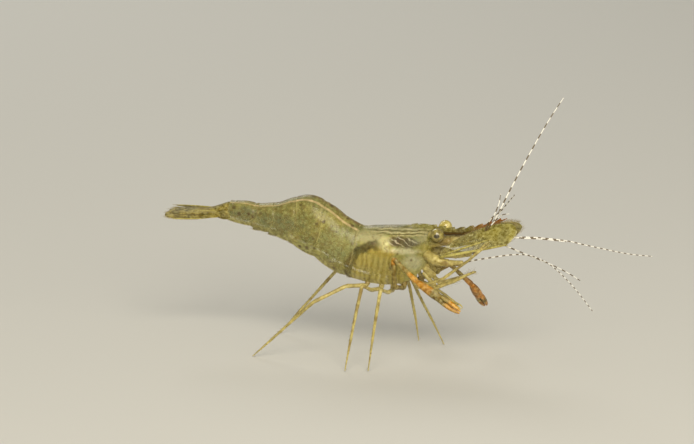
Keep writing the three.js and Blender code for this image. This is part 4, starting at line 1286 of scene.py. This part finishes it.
def antennal_scale(side):
    """The broad blade beside the feelers, with its outer rod, midrib and the fringe of its inner edge."""
    heel, tip = sideways(SCALE_HEEL, side), sideways(SCALE_SPINE, side)
    length = (tip - heel).length
    way = (tip - heel).normalized()
    across = sideways(SCALE_ACROSS, side)
    across = (across - way * across.dot(way)).normalized()
    steps = [k / 3 for k in range(3 * len(SCALE_OUTLINE) - 2)]
    outline = [[through(column, u) for column in zip(*SCALE_OUTLINE)] for u in steps]
    line = []
    for x, outer, inner in outline:
        middle = heel + way * x + across * (outer + inner) / 2
        line.append((middle, (inner - outer) / 2, SCALE_HALF_THICK))
    blade = tube(f"scale_{side}", line, sides=20, across=across)
    settle(blade, SCALE_FIN, "fin", f"antennal_scale_{side}")
    edge_rod = [(heel + way * length * t + across * 0.08, r, r) for t, r in SCALE_ROD]
    midrib = [(heel + way * length * t + across * (0.3 + 1.5 * t), r, r) for t, r in SCALE_MIDRIB]
    rods = joined(f"scale_rods_{side}", [tube("rod", edge_rod, sides=10), tube("midrib", midrib, sides=10)])
    settle(rods, ROD, "fin", f"antennal_scale_{side}")
    middle = heel + way * length * 0.6 + across * 1.4
    rim = [heel + way * x + across * inner for x, _, inner in outline[6:]]
    rim += [heel + way * x + across * outer for x, outer, _ in reversed(outline[22:])]
    roots = []
    for k in range(SCALE_BRISTLES):
        share = k / (SCALE_BRISTLES - 1)
        root = along_points(rim, share)
        ahead = along_points(rim, min(share + 0.01, 1.0)) - along_points(rim, max(share - 0.01, 0.0))
        outward = way.cross(across).cross(ahead).normalized()
        if outward.dot(root - middle) < 0:
            outward = -outward
        bristle = 0.5 + 0.2 * chance.random()
        roots.append((root - outward * 0.05, outward + way * 0.9, bristle, way * 0.12))
    settle(hairs(f"scale_bristles_{side}", roots, thick=0.022), HAIRS, "fin", f"antennal_scale_{side}")


# A blade's half width as a share of its greatest, at shares of its length.
PETAL = ((0, 0.5), (0.12, 0.64), (0.3, 0.82), (0.5, 0.95), (0.7, 1.0), (0.85, 0.93), (0.95, 0.7), (1.0, 0.34))


def leaf(name, root, tip, across, half, thick, sides=14, arch=0.0):
    """A thin petal-shaped blade, half a width of half at its broadest; arch lifts its middle."""
    root, tip, across = Vector(root), Vector(tip), Vector(across)
    up = (tip - root).cross(across).normalized()
    line = []
    for share, width in PETAL:
        centre = root.lerp(tip, share) + up * arch * math.sin(math.pi * share)
        line.append((centre, half * width, thick * (0.6 + 0.4 * min(1.0, half * width / 0.5))))
    return tube(name, line, sides=sides, across=across)


# Lobes of the mouth, given for the left side: root, tip, way across, half width, half thickness.
MOUTH_LOBES = (
    ((10.2, 0.75, -3.9), (11.2, 0.55, -6.0), (0.6, 0.5, 0.3), 0.75, 0.4),
    ((9.6, 1.0, -4.2), (10.6, 0.95, -6.5), (1, 0.15, 0.3), 0.72, 0.2),
    ((9.3, 1.15, -4.9), (11.5, 1.15, -6.55), (0.6, 0.1, 0.8), 0.6, 0.16),
    ((10.4, 1.05, -3.6), (12.3, 0.85, -5.2), (0.6, 0.3, 0.7), 0.5, 0.18),
)


def mouthparts():
    """The upper lip, and four lobes on each side."""
    made = [leaf("labrum", (11.9, 0, -3.9), (11.3, 0, -5.6), (0, 1, 0), 0.55, 0.35)]
    for side in SIDES:
        for root, tip, across, half, thick in MOUTH_LOBES:
            root, tip, across = sideways(root, side), sideways(tip, side), sideways(across, side)
            made.append(leaf("lobe", root, tip, across, half, thick))
    settle(joined("mouth_lobes", made), LIMB, "mouth", "mouthparts")


def bands_of(joints, articles):
    """Bands along a limb: (article, from, to) as shares of that article, turned into millimetres."""
    reach = [0.0]
    for a, b in zip(joints, joints[1:]):
        reach.append(reach[-1] + (Vector(b) - Vector(a)).length)
    spans = []
    for i, low, high in articles:
        spans.append(tuple(reach[i] + (reach[i + 1] - reach[i]) * share for share in (low, high)))
    return spans


def bristle_rows(joints, first, count, length, radius):
    """Hairs down the far articles of a limb."""
    roots = []
    path = [Vector(p) for p in joints[first:]]
    for k in range(count):
        share = (k + 0.5) / count
        spot = share * (len(path) - 1)
        i = min(int(spot), len(path) - 2)
        link = path[i + 1] - path[i]
        way = link.normalized()
        out = Matrix.Rotation(chance.random() * math.tau, 3, way) @ way.orthogonal().normalized()
        root = path[i] + link * (spot - i) + out * radius * 0.8
        roots.append((root, out + way * 0.8, length * (0.7 + 0.5 * chance.random()), way * 0.2))
    return roots


def maxilliped(side):
    """A foot-jaw, bristly to its tip."""
    joints = MAXILLIPED[side]
    limb = tube(f"foot_jaw_{side}", article_line(joints, MAXILLIPED_RADII), sides=12)
    settle(limb, LIMB, "limb", f"maxilliped_{side}")
    bristles = bristle_rows(joints, first=1, count=60, length=0.6, radius=0.3)
    settle(hairs(f"foot_jaw_bristles_{side}", bristles, thick=0.016), HAIRS, "limb", f"maxilliped_{side}")


# Sections of a small finger: share of its length, distance from the middle and radius in pincer radii.
SMALL_FINGER = ((0, 0.45, 0.62), (0.35, 0.9, 0.6), (0.75, 0.75, 0.42), (1.0, 0.2, 0.12))


def small_pincer(wrist, tip, radius, spread):
    """Two fine fingers from a wrist."""
    wrist, tip = Vector(wrist), Vector(tip)
    way = (tip - wrist).normalized()
    spread = (Vector(spread) - way * way.dot(spread)).normalized()
    made = []
    for turn in (1, -1):
        line = []
        for share, off, r in SMALL_FINGER:
            line.append((wrist.lerp(tip, share) + spread * turn * off * radius, radius * r, radius * r))
        made.append(tube("finger", line, sides=8))
    return made


def first_leg(side):
    """A slender arm with a small pincer."""
    joints = [Vector(p) for p in FIRST_LEG[side]]
    palm = joints[-1] - joints[-2]
    wrist = joints[-2].lerp(joints[-1], 0.45)
    limb = tube("arm", article_line(joints[:-1] + [wrist], FIRST_LEG_RADII), sides=12)
    fingers = small_pincer(wrist - palm * 0.04, joints[-1], 0.26, (0, 0.3, 1))
    settle(joined(f"first_leg_{side}", [limb] + fingers), LIMB, "limb", f"leg_1_{side}")


# Sections of the long claw: share of its length, distance to the side, half width, half height.
PALM = (
    (-0.02, 0, 0.3, 0.28), (0.03, 0, 0.44, 0.38), (0.12, 0, 0.58, 0.48), (0.28, 0, 0.68, 0.56),
    (0.42, 0, 0.72, 0.58), (0.5, -0.03, 0.68, 0.54), (0.535, -0.22, 0.44, 0.42), (0.6, -0.35, 0.36, 0.42),
    (0.72, -0.37, 0.35, 0.4), (0.86, -0.32, 0.3, 0.34), (0.95, -0.22, 0.2, 0.22), (1.0, -0.12, 0.08, 0.08),
)
FINGER = (
    (0.47, 0.24, 0.24, 0.3), (0.52, 0.3, 0.33, 0.38), (0.6, 0.38, 0.36, 0.42), (0.72, 0.39, 0.34, 0.4),
    (0.86, 0.34, 0.29, 0.33), (0.95, 0.24, 0.2, 0.21), (1.0, 0.14, 0.08, 0.08),
)
FINGER_ROOT = 0.45
# Where the orange at the wrist ends and the orange at the tips starts, as shares of the claw's length.
CLAW_BANDS = {"left": (0.62, 0.75), "right": (0.36, 0.7)}
ARM_BANDS = ((2, 0.8, 1.02), (3, 0.0, 0.3), (4, 0.5, 1.05))


def claw(side):
    """A long claw: the palm runs on into the fixed finger, and the other finger lies beside it."""
    wrist, tip = Vector(CLAW[side]["wrist"]), Vector(CLAW[side]["tip"])
    length = (tip - wrist).length
    way = (tip - wrist).normalized()
    spread = Vector(CLAW[side]["spread"])
    spread = (spread - way * way.dot(spread)).normalized()
    wrist_end, tips_start = CLAW_BANDS[side]
    bands = [(-0.5, length * wrist_end), (length * tips_start, length * 1.1)]
    finger_bands = [(low - length * FINGER_ROOT, high - length * FINGER_ROOT) for low, high in bands]
    for part, tone, sections, sides, spans in (
        ("palm", "claw", PALM, 16, bands),
        ("finger", "finger", FINGER, 14, finger_bands),
    ):
        line = []
        for share, off, wide, deep in sections:
            line.append((wrist + way * length * share + spread * off, wide, deep))
        paint = material(f"orange {tone} {side}", orange_paint, {"bands": spans, "side": side}, **GLOSS)
        settle(tube(f"{part}_{side}", line, sides=sides, across=spread), paint, "claw", f"claw_{side}")
    bristles = bristle_rows((wrist, tip), first=0, count=36, length=0.42, radius=0.5)
    settle(hairs(f"claw_bristles_{side}", bristles, thick=0.014), HAIRS, "claw", f"claw_{side}")


def claw_arm(side):
    """The long arm that carries a claw."""
    joints = CLAW_ARM[side]
    limb = tube(f"claw_arm_{side}", article_line(joints, CLAW_ARM_RADII), sides=14)
    bands = bands_of(joints, ARM_BANDS)
    paint = material(f"orange arm {side}", orange_paint, {"bands": bands, "side": side}, **GLOSS)
    settle(limb, paint, "claw", f"claw_arm_{side}_upper", f"claw_arm_{side}_lower")


def walking_leg(name):
    """A thin leg, with a row of spines behind its last long article and bristles below the knee."""
    joints = WALKING_LEGS[name]
    limb = tube(f"{name}_limb", article_line(joints, WALKING_LEG_RADII), sides=12)
    settle(limb, LIMB, "limb", f"{name}_upper", f"{name}_lower")
    knee, ankle = Vector(joints[-3]), Vector(joints[-2])
    down = (ankle - knee).normalized()
    back = (Vector((-1, 0, 0)) + down * down.x).normalized()
    spines = []
    for k in range(6):
        root = knee + (ankle - knee) * (0.25 + 0.12 * k) + back * 0.14
        spines.append((root, back + down * 1.3, 0.42, down * 0.1))
    spines += bristle_rows(joints, first=3, count=14, length=0.3, radius=0.2)
    settle(hairs(f"{name}_spines", spines, thick=0.03), HAIRS, "limb", f"{name}_lower")


FEELER_RING = 0.42  # millimetres between a feeler's rings
FORK_STEPS = 14


def flagellum(name, points, paint, nodes, slim=1.0):
    """A ringed feeler; the outer ones of the small pair have a short branch."""
    side = "left" if "left" in name else "right"
    length = sum((Vector(b) - Vector(a)).length for a, b in zip(points, points[1:]))
    steps = max(12, int(length / FEELER_RING))
    root, tip = FLAGELLUM_RADIUS
    line = []
    for k in range(steps + 1):
        share = k / steps
        r = (root + (tip - root) * share) * (1.0 if k % 2 else 0.88) * slim
        line.append((along_points(points, share), r, r))
    made = [tube("main", line, sides=8)]
    if "outer" in name:
        reach = Vector(points[2]) + Vector(BRANCH_LEAN[side])
        fork = [points[0], Vector(points[1]).lerp(reach, 0.5), reach]
        branch = []
        for k in range(FORK_STEPS + 1):
            share = k / FORK_STEPS
            r = 0.13 - 0.08 * share
            branch.append((along_points(fork, share), r, r))
        made.append(tube("branch", branch, sides=8))
    settle(joined(f"feeler_{name}", made), paint, "feeler", *nodes)


# ---- Tail and swimmerets --------------------------------------------------------------------------

def edge_hairs(root, tip, across, half, start, count, length):
    """Hair roots round the edge of a petal-shaped blade."""
    root, tip = Vector(root), Vector(tip)
    way = (tip - root).normalized()
    across = Vector(across)
    across = (across - way * across.dot(way)).normalized()
    shares, widths = zip(*PETAL)
    made = []
    for turn in (1, -1):
        for k in range(count):
            share = start + (0.995 - start) * k / (count - 1)
            width = float(np.interp(share, shares, widths)) * half
            out = across * turn * (1.2 - share) + way * (0.45 + share)
            place = root.lerp(tip, share) + across * turn * width * 0.95
            made.append((place, out, length * (0.8 + 0.3 * chance.random()), way * 0.1))
    return made


# Sections of the telson: share of its length, half width as a share of the widest, half height.
TELSON_SECTIONS = (
    (0, 1.0, 0.75), (0.08, 1.06, 0.72), (0.2, 1.02, 0.56), (0.4, 0.9, 0.34), (0.6, 0.74, 0.2),
    (0.8, 0.55, 0.16), (0.95, 0.4, 0.13), (0.985, 0.3, 0.11), (1.0, 0.12, 0.06),
)
TELSON_SPINE_PAIRS = (0.5, 0.74)
# Spines at the telson's end, from its tip: root, point, radius.
TELSON_END_SPINES = (
    ((0.25, 0.28, 0), (-0.55, 0.36, 0), 0.07),
    ((0.1, 0.16, 0), (-1.0, 0.2, 0), 0.06),
)


def telson():
    """The pointed middle plate of the tail, dipped above, with spines on it and at its end."""
    root, tip = Vector(TELSON["root"]), Vector(TELSON["tip"])

    def middle(share):
        return root.lerp(tip, share) - Vector((0, 0, TELSON["dip"] * math.sin(math.pi * share)))

    line = [(middle(share), TELSON["half"] * wide, deep) for share, wide, deep in TELSON_SECTIONS]
    made = [tube("telson_plate", line, sides=20, across=(0, 1, 0))]
    for share in TELSON_SPINE_PAIRS:
        for side in SIDES:
            foot = middle(share) + Vector((0, 0.5 - share * 0.25, 0.04))
            point = middle(share) + Vector((-0.75, 0.52 - share * 0.25, 0.16))
            made.append(spike("spine", foot, point, 0.07, side))
    for side in SIDES:
        for foot, point, radius in TELSON_END_SPINES:
            made.append(spike("spine", tip + Vector(foot), tip + Vector(point), radius, side))
    settle(joined("telson_plate", made), FIN, "fin", "telson")


# A paddle's rib: share of its length, radius. Its stiff outer edge: share, share of the half width, radius.
PADDLE_RIB = ((0.02, 0.12), (0.3, 0.11), (0.6, 0.09), (0.9, 0.06), (0.97, 0.03))
PADDLE_EDGE = ((0.1, 0.42, 0.1), (0.3, 0.76, 0.12), (0.5, 0.92, 0.12), (0.72, 0.97, 0.11), (0.84, 0.92, 0.03))


def tail_paddle(kind, side):
    """A blade of the tail fan with its rib and fringe, and on the outer ones a stiff edge."""
    spec = PADDLES[kind]
    root, tip = sideways(spec["root"], side), sideways(spec["tip"], side)
    across = sideways((0, 1, -spec["tilt"]), side)
    half = spec["width"] / 2
    blade = leaf(f"{kind}_blade_{side}", root, tip, across, half, 0.09, sides=18, arch=0.1)
    settle(blade, FIN, "fin", f"{kind}_{side}")
    rib = []
    for share, r in PADDLE_RIB:
        lift = Vector((0, 0, 0.04 + 0.1 * math.sin(math.pi * share)))
        rib.append((root.lerp(tip, share) + lift, r, r * 0.8))
    made = [tube("rib", rib, sides=8)]
    if kind == "uropod_outer":
        edge = []
        for share, width, r in PADDLE_EDGE:
            edge.append((root.lerp(tip, share) + across.normalized() * half * width, r, r))
        made.append(tube("edge", edge, sides=8))
    settle(joined(f"{kind}_ribs_{side}", made), ROD, "fin", f"{kind}_{side}")
    roots = edge_hairs(root, tip, across, half, start=0.35, count=46, length=0.55)
    settle(hairs(f"{kind}_bristles_{side}", roots, thick=0.02), HAIRS, "fin", f"{kind}_{side}")


UROPOD_RADII = (0.72, 0.66, 0.28)
UROPOD_STEPS = 7


def uropod_base(side):
    """The short stem that two paddles grow from."""
    line = []
    points = [sideways(p, side) for p in UROPOD_BASE]
    for k in range(UROPOD_STEPS + 1):
        share = k / UROPOD_STEPS
        r = through(UROPOD_RADII, share * (len(UROPOD_RADII) - 1))
        line.append((along_points(points, share), r, r * 0.85))
    settle(tube(f"uropod_stem_{side}", line, sides=16), FIN, "shell", f"uropod_base_{side}")


# A swimmeret's stem: share of its length, radius. Its two leaves: shift outwards, drop, share of the length.
SWIMMERET_STEM = ((0, 0.3), (0.3, 0.34), (0.75, 0.3), (1, 0.2))
SWIMMERET_LEAVES = ((0.22, 0.0, 1.0), (-0.24, 0.16, 0.86))


def swimmerets(pair):
    """A pair of swimmerets laid back, each a short stem with two fringed leaves."""
    (x, z), slope, length, width, y = SWIMMERETS[pair - 1]
    way = Vector((-1, 0, slope)).normalized()
    half = width * 0.36
    made, roots = [], []
    for side in SIDES:
        root = sideways((x + 0.2, y, z + 0.35), side)
        knee = sideways((x - 0.35, y, z - 0.02), side)
        made.append(tube("stem", [(root.lerp(knee, t), r, r * 0.8) for t, r in SWIMMERET_STEM], sides=10))
        for shift, drop, share in SWIMMERET_LEAVES:
            start = knee + Vector((0.1, shift * 0.5 * SIDES[side], drop * 0.5))
            end = knee + way * length * share * 0.85 + Vector((0, shift * SIDES[side], drop))
            across = sideways((0, 1, -0.5 if shift > 0 else 0.2), side)
            made.append(leaf("leaf", start, end, across, half, 0.08))
            roots += edge_hairs(start, end, across, half, start=0.3, count=16, length=0.42)
    settle(joined(f"swimmeret_leaves_{pair}", made), SWIMMERET, "fin", f"swimmerets_{pair}")
    settle(hairs(f"swimmeret_bristles_{pair}", roots, thick=0.018), HAIRS, "fin", f"swimmerets_{pair}")


# ---- The whole animal -----------------------------------------------------------------------------

flesh()
carapace()
rostrum()
for ring in range(1, RING_COUNT + 1):
    abdomen_plate(ring)
mouthparts()
telson()
for pair in range(1, len(SWIMMERETS) + 1):
    swimmerets(pair)
for side in SIDES:
    eye(side)
    antennule(side)
    antenna_base(side)
    antennal_scale(side)
    maxilliped(side)
    first_leg(side)
    claw_arm(side)
    claw(side)
    uropod_base(side)
    for kind in PADDLES:
        tail_paddle(kind, side)
for name in WALKING_LEGS:
    walking_leg(name)
for name, points in FLAGELLA.items():
    if name.startswith("antennule"):
        flagellum(name, points, BROAD_BANDS, [name])
    else:
        flagellum(name, points, FINE_BANDS, [f"{name}_near", f"{name}_far"], 0.85)


# ---- Floor, light and camera ------------------------------------------------------------------------

FLOOR_WIDTH = 12
LAMP_AIM = Vector((0, 0, 0.015))
# Lamps: name, place, size, power, colour.
LAMPS = (
    ("key", (0.14, -0.42, 0.36), 0.35, 3.0, "fff8e8"),
    ("rim", (-0.25, 0.35, 0.35), 0.25, 0.8, "f8f8f4"),
    ("fill", (0.45, -0.3, 0.12), 0.4, 1.0, "fff6e0"),
)
SKY, SKY_STRENGTH = "edece6", 0.3
IMAGE = (694, 444)
PIXELS_PER_MM = 7.0
AZIMUTH, ELEVATION = math.radians(16), math.radians(15)
NAPE_IN_VIEW = (360, 225)  # pixels from the left and from the top
LENS, SENSOR = 200, 36


def floor():
    """A wide sheet of pale paper."""
    object_mode()
    bpy.ops.mesh.primitive_plane_add(size=FLOOR_WIDTH)
    ground = bpy.context.object
    ground.name = "floor"
    paper = bpy.data.materials.new("pale paper")
    paper.use_nodes = True
    shader = paper.node_tree.nodes["Principled BSDF"].inputs
    shader["Base Color"].default_value = tint("cfcdc6")
    shader["Roughness"].default_value = 0.9
    ground.data.materials.append(paper)


def lamp(name, place, size, power, color):
    """A square soft lamp turned to the animal."""
    light = bpy.data.lights.new(name, "AREA")
    light.size = size
    light.energy = power
    light.color = tint(color)[:3]
    made = bpy.data.objects.new(name, light)
    made.location = place
    made.rotation_euler = (LAMP_AIM - Vector(place)).to_track_quat("-Z", "Y").to_euler()
    bpy.context.collection.objects.link(made)


def camera():
    """A long lens from the animal's right, a little in front and above."""
    right = Vector((math.cos(AZIMUTH), math.sin(AZIMUTH), 0))
    level = Vector((math.sin(AZIMUTH), -math.cos(AZIMUTH), 0))
    back = level * math.cos(ELEVATION) + Vector((0, 0, math.sin(ELEVATION)))
    up = back.cross(right)
    across = (IMAGE[0] / 2 - NAPE_IN_VIEW[0]) / PIXELS_PER_MM
    rise = (NAPE_IN_VIEW[1] - IMAGE[1] / 2) / PIXELS_PER_MM
    target = NAPE + (right * across + up * rise) * MM
    data = bpy.data.cameras.new("camera")
    data.lens, data.sensor_width = LENS, SENSOR
    data.clip_start, data.clip_end = 0.01, 30
    made = bpy.data.objects.new("camera", data)
    distance = IMAGE[0] / PIXELS_PER_MM * MM * LENS / SENSOR
    turn = Matrix((right, up, back)).transposed().to_4x4()
    made.matrix_world = Matrix.Translation(target + back * distance) @ turn
    bpy.context.collection.objects.link(made)
    bpy.context.scene.camera = made


def daylight():
    """Even pale light from all round."""
    world = bpy.data.worlds.new("studio")
    world.use_nodes = True
    sky = world.node_tree.nodes["Background"].inputs
    sky["Color"].default_value = tint(SKY)
    sky["Strength"].default_value = SKY_STRENGTH
    bpy.context.scene.world = world


floor()
for name, place, size, power, color in LAMPS:
    lamp(name, place, size, power, color)
daylight()
camera()
bpy.context.scene.view_settings.view_transform = "Standard"
